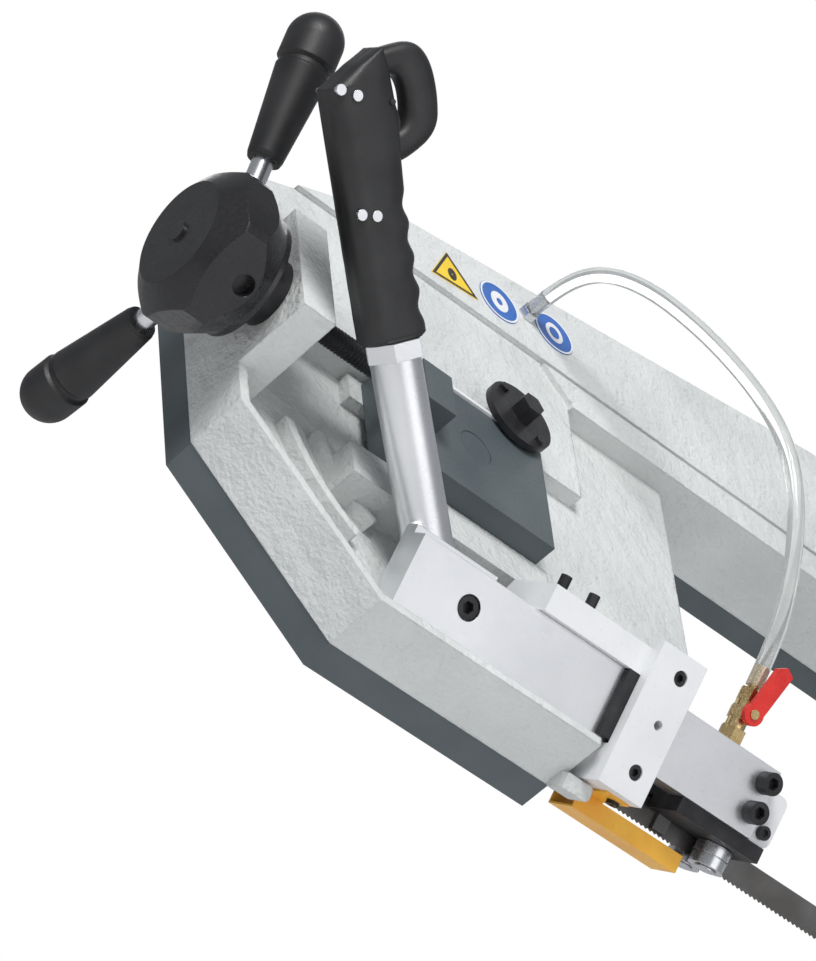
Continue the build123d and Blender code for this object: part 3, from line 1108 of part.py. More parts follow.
save("bar_shim", bar_shim())
save("set_screws", set_screws())
save("guide_block", guide_block(BLOCK_LEFT, BLOCK_RIGHT, ROLLER_X, ROLLER_X - 4))
save("guide_end_plate", guide_end_plate())
save("guide_screws", guide_screws())
save("roller_pins", roller_pins(ROLLER_X, ROLLER_BOTTOM + 38))
save("front_roller", roller(ROLLER_X, roller_axes()[0]))
save("back_roller", roller(ROLLER_X, roller_axes()[1]))
save("guide_pads", carbide_pads(PAD_X, -8, 9))
save("blade_guard", blade_guard())
save("handle_tube", handle_tube())
save("handle_foot_screw", front_screw(FOOT_SCREW_X, BAR_MID, BAR_FRONT + 11, 5.0, M10_HEAD_R, 20, 10, 4.6))
save("handle_nut", handle_nut())
save("grip_front_half", grip_half(1))
save("grip_back_half", grip_half(-1))
save("grip_screws", grip_screws())
save("trigger", trigger())
save("trigger_pin", trigger_pin())
save("trigger_switch", trigger_switch())
save("coolant_valve", coolant_valve())
save("valve_lever", valve_lever())
save("coolant_hose", coolant_hose())
save("hose_inlet", hose_inlet())
save("warning_plate", warning_plate())
save("notice_plates", notice_plates())
save("drive_wheel", saw_wheel(DRIVE_X, SHAFT_R))
save("drive_shaft", drive_shaft())
save("worm_wheel", worm_wheel())
save("gearbox_housing", gearbox_housing())
save("gearbox_cover", gearbox_cover())
save("gearbox_screws", gearbox_screws())
save("motor_frame", motor_frame())
save("motor_shaft", motor_shaft() + cooling_fan())
save("fan_cover", fan_cover())
save("terminal_box", terminal_box())
save("motor_stator", motor_stator())
save("fixed_guide", fixed_guide_arm(),
     guide_block(FIXED_BLOCK_LEFT, FIXED_BLOCK_RIGHT, FIXED_ROLLER_X, FIXED_ROLLER_X + 4))
save("fixed_guide_fittings", fixed_guide_screws(), roller_pins(FIXED_ROLLER_X, ROLLER_BOTTOM + 38),
     carbide_pads(FIXED_BLOCK_RIGHT - 14, -8, 9), roller(FIXED_ROLLER_X, roller_axes()[0]),
     roller(FIXED_ROLLER_X, roller_axes()[1]))
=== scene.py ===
"""Head of a two-wheel metal-cutting mitre band saw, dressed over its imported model.

Everything is in metres, in the model's own frame: the origin is under the pivot bracket's foot, +X runs
along the blade to the pivot and +Z is up with the head down on its stop.  The wheels lean back 45 degrees,
so much of the head is laid out on its own axes, x along the blade, v up and back in the wheels' plane and
w square to that plane, up and to the front.
"""
import math

import bpy
import numpy as np
from mathutils import Matrix


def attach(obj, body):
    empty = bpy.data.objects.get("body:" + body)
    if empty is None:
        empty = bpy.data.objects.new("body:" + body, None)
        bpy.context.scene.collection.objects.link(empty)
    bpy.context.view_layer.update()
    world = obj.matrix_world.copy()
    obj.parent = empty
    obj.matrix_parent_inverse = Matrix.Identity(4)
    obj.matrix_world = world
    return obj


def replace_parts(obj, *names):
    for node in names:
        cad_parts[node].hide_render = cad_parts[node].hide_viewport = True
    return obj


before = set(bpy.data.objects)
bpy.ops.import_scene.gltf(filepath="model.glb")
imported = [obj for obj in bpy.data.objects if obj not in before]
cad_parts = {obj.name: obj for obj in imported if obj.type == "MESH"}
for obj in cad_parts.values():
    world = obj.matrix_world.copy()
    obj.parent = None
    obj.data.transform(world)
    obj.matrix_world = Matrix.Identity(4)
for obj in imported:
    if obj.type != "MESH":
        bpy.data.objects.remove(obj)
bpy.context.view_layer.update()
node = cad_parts

# ---- Camera and light --------------------------------------------------------------------------------------
# The head is seen from its tension end, a little from below, as it hangs when raised for a new cut.
# Light is a wide soft source above and behind the viewer's left shoulder, with two weaker fills.
SENSOR = 36.0                                # millimetres, as the lens
LENS = 183.8
FAR_CLIP = 60.0
EYE = (-2.583, -2.729, -0.583)
RIGHTWARD = (0.7205, -0.5408, 0.4341)
BACKWARD = (-0.4900, -0.8400, -0.2330)
camera_data = bpy.data.cameras.new("view")
camera_data.sensor_width = SENSOR
camera_data.lens = LENS
camera_data.clip_end = FAR_CLIP
camera = bpy.data.objects.new("view", camera_data)
bpy.context.scene.collection.objects.link(camera)
bpy.context.scene.camera = camera
right = np.array(RIGHTWARD)
toward = np.array(BACKWARD)
toward -= right * (toward @ right) / (right @ right)
axes = [right / np.linalg.norm(right), None, toward / np.linalg.norm(toward)]
axes[1] = np.cross(axes[2], axes[0])
matrix = np.eye(4)
matrix[:3, :3] = np.array(axes).T
matrix[:3, 3] = EYE
camera.matrix_world = Matrix(matrix.tolist())

AMBIENT_TONE = (0.93, 0.95, 1.0, 1.0)
AMBIENT_STRENGTH = 0.34
BACKDROP_TONE = (1.0, 1.0, 1.0, 1.0)
bpy.context.scene.view_settings.view_transform = "Standard"
world = bpy.data.worlds.new("room")
world.use_nodes = True
bpy.context.scene.world = world
sky = world.node_tree
backdrop = sky.nodes["Background"]
backdrop.inputs["Color"].default_value = BACKDROP_TONE
backdrop.inputs["Strength"].default_value = 1.0
ambient = sky.nodes.new("ShaderNodeBackground")
ambient.inputs["Color"].default_value = AMBIENT_TONE
ambient.inputs["Strength"].default_value = AMBIENT_STRENGTH
kind = sky.nodes.new("ShaderNodeLightPath")
either = sky.nodes.new("ShaderNodeMixShader")
sky.links.new(kind.outputs["Is Camera Ray"], either.inputs["Fac"])
sky.links.new(ambient.outputs["Background"], either.inputs[1])
sky.links.new(backdrop.outputs["Background"], either.inputs[2])
sky.links.new(either.outputs["Shader"], sky.nodes["World Output"].inputs["Surface"])


def soft_light(name, place, aim, side, power):
    """Square area light of the given side, standing at one point and facing another."""
    data = bpy.data.lights.new(name, "AREA")
    data.shape = "SQUARE"
    data.size = side
    data.energy = power
    light = bpy.data.objects.new(name, data)
    bpy.context.scene.collection.objects.link(light)
    back = np.array(place) - np.array(aim)
    back = back / np.linalg.norm(back)
    side_axis = np.cross([0.0, 0.0, 1.0], back)
    side_axis = side_axis / np.linalg.norm(side_axis)
    turn = np.eye(4)
    turn[:3, :3] = np.array([side_axis, np.cross(back, side_axis), back]).T
    turn[:3, 3] = place
    light.matrix_world = Matrix(turn.tolist())


soft_light("key", (-2.9, -1.9, 3.0), (-0.9, 0.0, 0.25), 1.4, 122.0)
soft_light("fill", (-0.2, -3.4, 0.6), (-0.8, 0.0, 0.2), 2.6, 26.0)
soft_light("back", (0.4, 2.8, 2.2), (-0.6, 0.0, 0.2), 2.4, 34.0)


# ---- Surface finishes: shared moves ------------------------------------------------------------------------
# Every finish is layered the same way: two tones that wander in soft clouds, a grain that both roughens
# and lifts the surface, and eased edges that catch the light.
def blank(name, rough, metal=0.0):
    """Empty finish: returns the material, its tree, its shader and the object coordinates."""
    material = bpy.data.materials.new(name)
    material.use_nodes = True
    tree = material.node_tree
    shader = tree.nodes["Principled BSDF"]
    shader.inputs["Roughness"].default_value = rough
    shader.inputs["Metallic"].default_value = metal
    return material, tree, shader, tree.nodes.new("ShaderNodeTexCoord").outputs["Object"]


EVEN = (1.0, 1.0, 1.0)                       # noise drawn out along no axis


def cloud(tree, where, scale, detail=4.0, stretch=EVEN):
    """Fractal noise of a scale, drawn out along the axes where stretch is small."""
    mapping = tree.nodes.new("ShaderNodeMapping")
    mapping.inputs["Scale"].default_value = stretch
    tree.links.new(where, mapping.inputs["Vector"])
    noise = tree.nodes.new("ShaderNodeTexNoise")
    noise.inputs["Scale"].default_value = scale
    noise.inputs["Detail"].default_value = detail
    tree.links.new(mapping.outputs["Vector"], noise.inputs["Vector"])
    return noise.outputs["Fac"]


def between(tree, factor, first, second, low=0.35, high=0.65):
    """Colour that passes from one tone to another as a factor goes from low to high."""
    ramp = tree.nodes.new("ShaderNodeValToRGB")
    ramp.color_ramp.elements[0].position = low
    ramp.color_ramp.elements[0].color = (*first, 1.0)
    ramp.color_ramp.elements[1].position = high
    ramp.color_ramp.elements[1].color = (*second, 1.0)
    tree.links.new(factor, ramp.inputs["Fac"])
    return ramp.outputs["Color"]


def spread(tree, factor, low, high):
    """Number that follows a noise, from low where the noise is weak to high where it is strong."""
    span = tree.nodes.new("ShaderNodeMapRange")
    span.inputs["From Min"].default_value = 0.3
    span.inputs["From Max"].default_value = 0.7
    span.inputs["To Min"].default_value = low
    span.inputs["To Max"].default_value = high
    tree.links.new(factor, span.inputs["Value"])
    return span.outputs["Result"]


def relief(tree, shader, layers, edge):
    """Bumps laid over one another, each (height, depth in metres), on edges eased by a radius."""
    ease = tree.nodes.new("ShaderNodeBevel")
    ease.samples = 4
    ease.inputs["Radius"].default_value = edge
    normal = ease.outputs["Normal"]
    for height, depth in layers:
        bump = tree.nodes.new("ShaderNodeBump")
        bump.inputs["Distance"].default_value = depth
        bump.inputs["Strength"].default_value = 1.0
        tree.links.new(height, bump.inputs["Height"])
        tree.links.new(normal, bump.inputs["Normal"])
        normal = bump.outputs["Normal"]
    tree.links.new(normal, shader.inputs["Normal"])


def finish(name, first, second, rough, metal=0.0, clouds=25.0, grain=900.0, depth=0.00005, edge=0.0006,
           stretch=EVEN, wander=0.08):
    """Even finish: two tones in clouds, one grain, roughness that wanders either side of its value."""
    material, tree, shader, where = blank(name, rough, metal)
    soft = cloud(tree, where, clouds, 5.0)
    fine = cloud(tree, where, grain, 3.0, stretch)
    tree.links.new(between(tree, soft, first, second), shader.inputs["Base Color"])
    tree.links.new(spread(tree, fine, rough - wander, rough + wander), shader.inputs["Roughness"])
    relief(tree, shader, [(fine, depth)], edge)
    return material


def paint(material, *names):
    """Give CAD nodes whose shape is right their finish."""
    for name in names:
        slots = node[name].data.materials
        slots.clear()
        slots.append(material)


# ---- Coolant hose ------------------------------------------------------------------------------------------
# Clear flexible tube pushed on two barbs, from the beam's inlet down to the valve on the guide bar.
# It rises out of the inlet, falls over in one bow and comes straight down on the valve.
HOSE_RADIUS = 0.006
HOSE_POINTS = [(-0.8655, 0.1639, 0.3773), (-0.8655, 0.1430, 0.3982), (-0.8590, 0.1120, 0.4120),
               (-0.8400, 0.0800, 0.4110), (-0.8140, 0.0460, 0.3980), (-0.7920, 0.0130, 0.3800),
               (-0.7740, -0.0180, 0.3590), (-0.7610, -0.0460, 0.3340), (-0.7510, -0.0680, 0.3010),
               (-0.7430, -0.0810, 0.2660), (-0.7360, -0.0880, 0.2310), (-0.7310, -0.0900, 0.1980),
               (-0.7310, -0.0900, 0.1660)]
hose_line = bpy.data.curves.new("hose", "CURVE")
hose_line.dimensions = "3D"
hose_line.bevel_depth = HOSE_RADIUS
hose_line.bevel_resolution = 6
hose_line.resolution_u = 10
hose_line.use_fill_caps = True
spline = hose_line.splines.new("NURBS")
spline.points.add(len(HOSE_POINTS) - 1)
spline.points.foreach_set("co", np.hstack([HOSE_POINTS, np.ones((len(HOSE_POINTS), 1))]).ravel())
spline.order_u = 3
spline.use_endpoint_u = True
hose = bpy.data.objects.new("clear_hose", hose_line)
bpy.context.scene.collection.objects.link(hose)
clear, tree, shader, where = blank("clear_vinyl", 0.12)
shader.inputs["Transmission Weight"].default_value = 0.82
shader.inputs["IOR"].default_value = 1.38
haze = cloud(tree, where, 60.0)
tree.links.new(between(tree, haze, (0.86, 0.88, 0.87), (0.95, 0.96, 0.95)), shader.inputs["Base Color"])
relief(tree, shader, [(cloud(tree, where, 350.0), 0.00004)], 0.0002)
hose_line.materials.append(clear)
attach(hose, "guide_arm")
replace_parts(hose, "coolant_hose")

# ---- Bow casting -------------------------------------------------------------------------------------------
# Sand casting with a pebbly skin under thick white-grey enamel, with the fixed guide's arm in the same
# casting work.  The guide bracket and its plates are machined and painted smooth; the bare steel gib is given
# the same white enamel as a painted highlight along its edge.
enamel, tree, shader, where = blank("cast_enamel", 0.45)
pebble = cloud(tree, where, 330.0, 2.0)
swell = cloud(tree, where, 75.0, 3.0)
tree.links.new(between(tree, cloud(tree, where, 9.0, 5.0), (0.60, 0.62, 0.61), (0.72, 0.74, 0.73)),
               shader.inputs["Base Color"])
tree.links.new(spread(tree, pebble, 0.38, 0.52), shader.inputs["Roughness"])
relief(tree, shader, [(swell, 0.0030), (pebble, 0.0012)], 0.002)
paint(enamel, "bow_casting", "fixed_guide")
enamel_and_gib_highlight = finish("enamel_and_gib_highlight", (0.74, 0.75, 0.76), (0.80, 0.81, 0.82), 0.34, 0.0, 20.0, 260.0,
                       0.00006, 0.0006)
# The bare steel slide gib takes this white enamel as a painted highlight along its bright machined edge.
paint(enamel_and_gib_highlight, "guide_bar_bracket", "bracket_end_plate", "guide_end_plate", "slide_gib")

# ---- Slate-painted pieces ----------------------------------------------------------------------------------
# Sheet cover behind the wheels, tension slide, gearbox and pivot bracket, all in satin slate grey.
slate = finish("slate_paint", (0.070, 0.088, 0.096), (0.092, 0.112, 0.120), 0.42, 0.0, 14.0, 500.0,
               0.00008, 0.001)
paint(slate, "wheel_cover", "tension_slide", "idler_axle", "pivot_bracket", "gearbox_housing",
      "gearbox_cover")

# ---- Steel -------------------------------------------------------------------------------------------------
satin = finish("satin_steel", (0.72, 0.73, 0.75), (0.80, 0.81, 0.83), 0.36, 1.0, 12.0, 60.0, 0.00001, 0.0005,
               (1.5, 60.0, 60.0), 0.10)
paint(satin, "guide_bar", "idler_bearings", "pivot_shaft", "drive_shaft", "motor_shaft", "cover_hinge_pins",
      "handle_nut", "handle_tube")
zinc = finish("zinc_plate", (0.62, 0.63, 0.65), (0.70, 0.71, 0.73), 0.28, 1.0, 20.0, 700.0, 0.000003, 0.0004,
              wander=0.03)
paint(zinc, "roller_pins", "front_roller", "back_roller", "hub_necks", "grip_screws", "fixed_guide_fittings",
      "hose_inlet")
oxide_and_gap_shade = finish("black_oxide_and_gap_shade", (0.018, 0.018, 0.020), (0.035, 0.035, 0.038), 0.45, 0.4, 60.0, 600.0,
               0.00003, 0.0004)
# The bar shim in this black finish is a dark strip that stands as painted shade in the gap beside the
# bracket's end plate.
paint(oxide_and_gap_shade, "set_screws", "tension_washers", "stop_screw", "gearbox_screws", "slide_clamp", "guide_block",
      "bar_shim", "plate_screws", "guide_screws", "handle_foot_screw")
iron = finish("wheel_iron", (0.16, 0.16, 0.165), (0.22, 0.22, 0.225), 0.55, 0.6, 40.0, 500.0,
              0.0002, 0.001)
paint(iron, "idler_wheel", "drive_wheel", "motor_stator", "guide_pads")

# ---- Black hub, handles and grip ---------------------------------------------------------------------------
gloss = finish("hub_enamel", (0.010, 0.010, 0.012), (0.018, 0.018, 0.020), 0.30, 0.0, 25.0, 300.0,
               0.00008, 0.0012)
paint(gloss, "tension_hub")
moulding = finish("black_moulding", (0.011, 0.011, 0.012), (0.020, 0.020, 0.021), 0.48, 0.0, 40.0, 1400.0,
                  0.00008, 0.001)
paint(moulding, "hub_handles", "trigger", "trigger_pin", "trigger_switch")

# ---- Saw blade ---------------------------------------------------------------------------------------------
# Endless band of spring steel with raked teeth ground in one edge, welded into a loop.  It runs round both
# wheels in their leaning plane and stands upright, teeth down, between the guides.
BLADE_HALF = 0.010
BLADE_GAUGE = 0.0009
TOOTH_DEPTH = 0.0015
TOOTH_COUNT = 560
TURN_RADIUS = 0.160
IDLER_CENTRE = -0.952
DRIVE_CENTRE = -0.262
TWIST = (-0.907, -0.781, -0.447, -0.307)     # leaning, upright, upright, leaning
TOOTH_TIP = 0.70                             # shares of the pitch from the gullet
TOOTH_BACK = 0.96
BLADE_LINE = (-0.060, 0.060)                 # the lower run's Y and Z
HALF_RIGHT = math.sqrt(0.5)                  # sine of 45 degrees


def head_axes(along, up, out):
    """Points given along the blade, up in the wheels' plane and square to it, in the model's frame: up and
    out turn through 45 degrees about X, and the blade's lower run is the origin."""
    return np.stack([along, BLADE_LINE[0] + HALF_RIGHT * (up - out),
                     BLADE_LINE[1] + HALF_RIGHT * (up + out)], -1)


def skin(name, rings, closed=False, capped=True):
    """Mesh through rings of points, shaped (rings, points, 3): every ring is closed on itself and each is
    joined to the next by four-sided faces; a closed run joins its last ring to its first, and an open one
    is capped with a flat face at each end."""
    count, around = rings.shape[:2]
    ring, spot = np.meshgrid(np.arange(count if closed else count - 1), np.arange(around), indexing="ij")
    after, beside = (ring + 1) % count, (spot + 1) % around
    faces = np.stack([ring * around + spot, ring * around + beside, after * around + beside,
                      after * around + spot], -1).reshape(-1, 4).tolist()
    if capped and not closed:
        faces += [list(range(around))[::-1], list(range((count - 1) * around, count * around))]
    mesh = bpy.data.meshes.new(name)
    mesh.from_pydata(rings.reshape(-1, 3).tolist(), [], faces)
    volume = np.einsum("ij,ij->i", *[np.array([f.center for f in mesh.polygons]),
                                     np.array([f.normal * f.area for f in mesh.polygons])]).sum()
    if volume < 0:
        mesh.flip_normals()
    return mesh


def show(name, mesh, material, body, slot, *nodes, smooth=True):
    """Finished mesh as one piece at the origin, riding on a body and standing for the CAD nodes named."""
    piece = bpy.data.objects.new(name, mesh)
    bpy.context.scene.collection.objects.link(piece)
    mesh.materials.append(material)
    mesh.polygons.foreach_set("use_smooth", np.full(len(mesh.polygons), smooth))
    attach(piece, body)
    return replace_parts(piece, *nodes) if nodes else piece


def blade_rings():
    """Rectangular section carried round the loop.  Its place is the run's length shared out evenly among
    the teeth, three stations to a tooth: gullet, tip at 0.70 of the pitch, and near the next gullet.  On the
    wheels the place turns about their centres; on the lower run the section turns from 45 degrees to
    upright."""
    span = DRIVE_CENTRE - IDLER_CENTRE
    arc = math.pi * TURN_RADIUS
    tooth = (np.arange(TOOTH_COUNT)[:, None] + np.array([0.0, TOOTH_TIP, TOOTH_BACK])).ravel() / TOOTH_COUNT
    depth = np.tile([0.0, 1.0, 0.15], TOOTH_COUNT) * TOOTH_DEPTH
    run = tooth * 2 * (span + arc)
    below = run < span
    turned = (run >= span) & (run < span + arc)
    above = (run >= span + arc) & (run < 2 * span + arc)
    angle = np.where(turned, (run - span) / TURN_RADIUS, np.where(above, math.pi, 0.0))
    angle = np.where(run >= 2 * span + arc, (run - 2 * span) / TURN_RADIUS, angle) - math.pi / 2
    along = np.where(below, IDLER_CENTRE + run, np.where(above, DRIVE_CENTRE - (run - span - arc), 0.0))
    centre = np.where(turned, DRIVE_CENTRE, IDLER_CENTRE)
    along = np.where(below | above, along, centre + TURN_RADIUS * np.cos(angle))
    up = TURN_RADIUS + TURN_RADIUS * np.sin(angle)
    place = head_axes(along, up, np.zeros_like(up))
    lean = np.where(below, np.interp(along, TWIST, [math.pi / 4, 0.0, 0.0, math.pi / 4]), math.pi / 4)
    across = np.stack([np.zeros_like(lean), -np.sin(lean), np.cos(lean)], -1)
    outward = head_axes(np.cos(angle), np.sin(angle), np.zeros_like(angle)) - head_axes(0.0, 0.0, 0.0)
    flat = np.stack([np.zeros_like(lean), -np.cos(lean), -np.sin(lean)], -1)
    outward = np.where(below[:, None], flat, outward)
    edge = (-BLADE_HALF + TOOTH_DEPTH - depth)[:, None]
    corners = [place + across * edge, place + across * edge + outward * BLADE_GAUGE,
               place + across * BLADE_HALF + outward * BLADE_GAUGE, place + across * BLADE_HALF]
    return np.stack(corners, 1)


band = finish("blade_steel", (0.13, 0.125, 0.12), (0.19, 0.185, 0.18), 0.40, 0.85, 30.0, 80.0,
              0.00001, 0.0001, (1.0, 50.0, 50.0), 0.10)
show("toothed_blade", skin("toothed_blade", blade_rings(), closed=True), band, "bow", "blade_steel",
     "saw_blade", smooth=False)

# ---- Tension screw -----------------------------------------------------------------------------------------
# Rolled thread on a blackened steel rod, greased, from the hub through the boss into the slide's nut.
SCREW_ENDS = (-1.167, -0.996)
SCREW_AXIS = (0.160, 0.074)
SCREW_RADIUS = 0.008
THREAD_PITCH = 0.003
THREAD_DEPTH = 0.0011
THREAD_STATIONS = 458
THREAD_AROUND = 20


def thread_rings():
    """Circle carried along the rod, its radius drawn in by a triangle wave of the distance along the rod in
    pitches less the share of a turn gone round, so that the groove winds as a helix.  The wave is raised
    and cut off, which leaves the crests flat and the roots narrow."""
    along = np.linspace(*SCREW_ENDS, THREAD_STATIONS)[:, None]
    turn = np.linspace(0.0, 1.0, THREAD_AROUND, endpoint=False)[None, :]
    wave = np.abs(((along / THREAD_PITCH - turn) % 1.0) * 2.0 - 1.0)
    radius = SCREW_RADIUS - THREAD_DEPTH * np.clip(1.25 * wave - 0.1, 0.0, 1.0)
    return head_axes(along + 0.0 * turn, SCREW_AXIS[0] + radius * np.cos(2 * math.pi * turn),
                     SCREW_AXIS[1] + radius * np.sin(2 * math.pi * turn))


show("tension_thread", skin("tension_thread", thread_rings()), oxide_and_gap_shade, "handwheel", "black_steel",
     "tension_screw", smooth=False)

# ---- Control grip ------------------------------------------------------------------------------------------
# Pistol grip moulded in two black halves, screwed together over the switch: rounded back, four finger
# hollows down the front, sloping top and a loop round the trigger.
GRIP_FOOT = np.array([-1.07593, -0.062, 0.21928])
GRIP_UP = np.array([-0.67688, 0.0, 0.73610])
GRIP_FORWARD = np.array([0.73610, 0.0, 0.67688])
GRIP_HALF = 0.0160
HOLLOW_DEPTH = 0.0030
HOLLOWS = (0.020, 0.108)                     # from the lowest finger to the highest
FINGERS = 4
GRIP_AROUND = 72
SEAM_DEPTH = 0.0007
SEAM_WIDTH = 0.0006
LOOP_HALF = 0.0098
LOOP_AROUND = 32
LOOP_POWER = 2.6


def on_grip(forward, up, side):
    """Points given forward of the grip's axis, up along it and to one side, in the model's frame."""
    return (GRIP_FOOT + forward[..., None] * GRIP_FORWARD + up[..., None] * GRIP_UP
            + side[..., None] * np.array([0.0, -1.0, 0.0]))


def grip_rings():
    """Superellipse of power 3 carried up the grip.  Its back edge leans in, its front edge is drawn in by
    the square of a sine at each finger, and both close together over the sloping top.  The seam between the
    halves is a groove of Gaussian section front and back."""
    up = np.concatenate([[0.012, 0.0122, 0.013, 0.0145], np.linspace(0.017, 0.178, 150),
                         np.linspace(0.1795, 0.1995, 40)])
    back = np.interp(up, [0.012, 0.0145, 0.180, 0.192, 0.1995], [-0.0205, -0.0225, -0.0205, 0.003, 0.0225])
    front = np.interp(up, [0.012, 0.0145, 0.104, 0.128, 0.150, 0.188, 0.1995],
                      [0.0195, 0.0225, 0.0240, 0.0262, 0.0290, 0.0285, 0.0250])
    wave = np.sin(math.pi * (up - HOLLOWS[0]) / ((HOLLOWS[1] - HOLLOWS[0]) / FINGERS)) ** 2
    front = front - HOLLOW_DEPTH * wave * ((up > HOLLOWS[0]) & (up < HOLLOWS[1]))
    middle, half = (front + back)[:, None] / 2, (front - back)[:, None] / 2
    thick = np.interp(up, [0.012, 0.0145, 0.15, 0.180, 0.1995],
                      [0.014, GRIP_HALF, GRIP_HALF, 0.0155, 0.012])[:, None]
    turn = np.linspace(0.0, 2 * math.pi, GRIP_AROUND, endpoint=False)[None, :]
    cosine, sine = np.cos(turn), np.sin(turn)
    forward = middle + half * np.sign(cosine) * np.abs(cosine) ** (2 / 3)
    side = thick * np.sign(sine) * np.abs(sine) ** (2 / 3)
    seam = SEAM_DEPTH * np.exp(-(side / SEAM_WIDTH) ** 2) * np.sign(cosine)
    return on_grip(forward - seam, up[:, None] + 0.0 * turn, side)


def rounded(points, rounds=4):
    """Line through soft corners: each round puts two points in place of every corner, a quarter of the way
    along the runs that meet there, and keeps the ends."""
    line = np.array(points)
    for _ in range(rounds):
        quarter, far = 0.75 * line[:-1] + 0.25 * line[1:], 0.25 * line[:-1] + 0.75 * line[1:]
        line = np.concatenate([line[:1], np.stack([quarter, far], 1).reshape(-1, 2), line[-1:]])
    return line


def loop_rings():
    """Rounded section carried round the trigger loop, between its outer and its inner line, each given
    forward and up on the grip: at each station the section spans the two lines and is a superellipse of
    power 2.6."""
    outer = rounded([(0.018, 0.1975), (0.030, 0.1995), (0.052, 0.2000), (0.0625, 0.1860), (0.0640, 0.1620),
                     (0.0590, 0.1370), (0.0300, 0.1240), (0.0200, 0.1250)])
    inner = rounded([(0.018, 0.1800), (0.0290, 0.1810), (0.0345, 0.1790), (0.0370, 0.1720), (0.0370, 0.1620),
                     (0.0350, 0.1520), (0.0300, 0.1450), (0.0200, 0.1450)])
    middle, half = (outer + inner) / 2, (outer - inner) / 2
    turn = np.linspace(0.0, 2 * math.pi, LOOP_AROUND, endpoint=False)
    across = np.sign(np.cos(turn)) * np.abs(np.cos(turn)) ** (2 / LOOP_POWER)
    side = LOOP_HALF * np.sign(np.sin(turn)) * np.abs(np.sin(turn)) ** (2 / LOOP_POWER)
    flat = middle[:, None, :] + half[:, None, :] * across[None, :, None]
    return on_grip(flat[..., 0], flat[..., 1], side[None, :] + 0.0 * flat[..., 0])


show("control_grip", skin("control_grip", grip_rings()), moulding, "guide_arm", "black_moulding",
     "grip_front_half", "grip_back_half")
show("trigger_loop", skin("trigger_loop", loop_rings()), moulding, "guide_arm", "black_moulding")

# ---- Small coloured pieces ---------------------------------------------------------------------------------
amber = finish("guard_enamel", (0.86, 0.40, 0.03), (0.94, 0.50, 0.05), 0.35, 0.0, 30.0, 300.0,
               0.00006, 0.0004)
paint(amber, "blade_guard")
brass = finish("turned_brass", (0.62, 0.44, 0.20), (0.74, 0.56, 0.28), 0.28, 1.0, 60.0, 600.0,
               0.00003, 0.0004)
paint(brass, "coolant_valve", "worm_wheel")
red = finish("lever_enamel", (0.62, 0.02, 0.015), (0.74, 0.03, 0.02), 0.32, 0.0, 60.0, 500.0,
             0.00004, 0.0006)
paint(red, "valve_lever")
yellow = finish("warning_yellow", (0.86, 0.58, 0.02), (0.92, 0.64, 0.03), 0.35, 0.0, 60.0, 500.0,
                0.00002, 0.0002)
paint(yellow, "warning_plate")
BEAM_FACE = 0.0586                           # the plates' faces, along the head's w
MARK_PROUD = 0.0002


def flat_band(name, outer, inner):
    """Flat ring between two closed outlines of equally many points on a label's face: its section is a
    rectangle from the outer line to the inner, standing proud of the plate by a fifth of a millimetre."""
    low, high = BEAM_FACE, BEAM_FACE + MARK_PROUD
    edges = [(outer, low), (outer, high), (inner, high), (inner, low)]
    along = np.stack([line[:, 0] for line, _ in edges], 1)
    up = np.stack([line[:, 1] for line, _ in edges], 1)
    out = np.stack([np.full(len(line), level) for line, level in edges], 1)
    return skin(name, head_axes(along, up, out), closed=True)


def sides(corners, share):
    """Outline through corners, ten points a side, shrunk towards its middle to a share of its size."""
    corners = np.array(corners)
    middle = corners.mean(0)
    step = np.linspace(0.0, 1.0, 10, endpoint=False)[None, :, None]
    line = (corners[:, None, :] * (1 - step) + np.roll(corners, -1, 0)[:, None, :] * step).reshape(-1, 2)
    return middle + (line - middle) * share


def circle(centre, radius, stretch=1.0):
    """Forty points round a circle, drawn out upwards by a factor."""
    turn = np.linspace(0.0, 2 * math.pi, 40, endpoint=False)
    return np.stack([centre[0] + radius * np.cos(turn), centre[1] + radius * stretch * np.sin(turn)], 1)


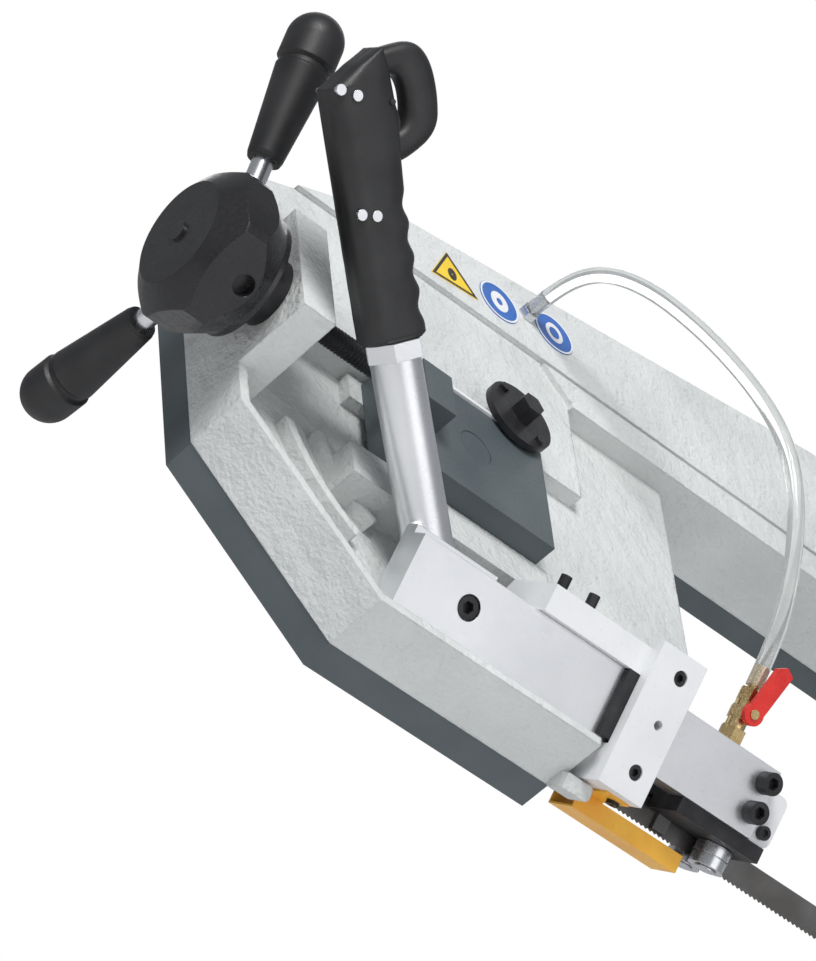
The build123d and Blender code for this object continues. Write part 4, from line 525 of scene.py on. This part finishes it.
WARNING_CORNERS = [(-0.963, 0.352), (-0.917, 0.357), (-0.945, 0.389)]
NOTICE_CENTRES = [(-0.894, 0.374), (-0.8377, 0.384)]
ink = finish("label_ink", (0.012, 0.012, 0.013), (0.020, 0.020, 0.021), 0.4, 0.0, 60.0, 500.0,
             0.00002, 0.0002)
white = finish("label_white", (0.80, 0.81, 0.82), (0.86, 0.87, 0.88), 0.35, 0.0, 60.0, 500.0,
               0.00002, 0.0002)
WARNING_MIDDLE = np.mean(WARNING_CORNERS, 0)
MARKS = [("warning_border", sides(WARNING_CORNERS, 0.97), sides(WARNING_CORNERS, 0.80), ink, "yellow_plate"),
         ("warning_mark", circle(WARNING_MIDDLE, 0.0042, 1.5), circle(WARNING_MIDDLE, 0.0006, 1.5), ink,
          "yellow_plate")]
for number, centre in enumerate(NOTICE_CENTRES):
    MARKS += [(f"notice_rim_{number}", circle(centre, 0.0188), circle(centre, 0.0172), white, "blue_plate"),
              (f"notice_mark_{number}", circle(centre, 0.0085, 1.2),
               circle(centre, 0.0030 + 0.002 * number, 1.2), white, "blue_plate")]
for name, outer, inner, material, slot in MARKS:
    show(name, flat_band(name, outer, inner), material, "bow", slot, smooth=False)
blue = finish("notice_blue", (0.02, 0.12, 0.45), (0.03, 0.15, 0.52), 0.35, 0.0, 60.0, 500.0,
              0.00002, 0.0002)
paint(blue, "notice_plates")
motor_grey = finish("motor_paint", (0.12, 0.14, 0.16), (0.16, 0.18, 0.20), 0.45, 0.0, 20.0, 400.0,
                    0.0001, 0.0008)
paint(motor_grey, "motor_frame", "terminal_box", "fan_cover")

# ---- Floor -------------------------------------------------------------------------------------------------
# Pale shop floor, well under the head, which stands on its machine's base.
FLOOR_LEVEL = -0.80
FLOOR_HALF = 8.0
u, v = np.meshgrid(np.linspace(-FLOOR_HALF, FLOOR_HALF, 3), np.linspace(-FLOOR_HALF, FLOOR_HALF, 3))
ground = bpy.data.meshes.new("floor")
ground.from_pydata(np.stack([u.ravel(), v.ravel(), np.full(u.size, FLOOR_LEVEL)], 1).tolist(), [],
                   [(0, 1, 4, 3), (1, 2, 5, 4), (3, 4, 7, 6), (4, 5, 8, 7)])
floor = bpy.data.objects.new("floor", ground)
bpy.context.scene.collection.objects.link(floor)
ground.materials.append(finish("pale_floor", (0.80, 0.80, 0.80), (0.84, 0.84, 0.84), 0.7, 0.0, 2.0, 60.0,
                               0.0001, 0.001))
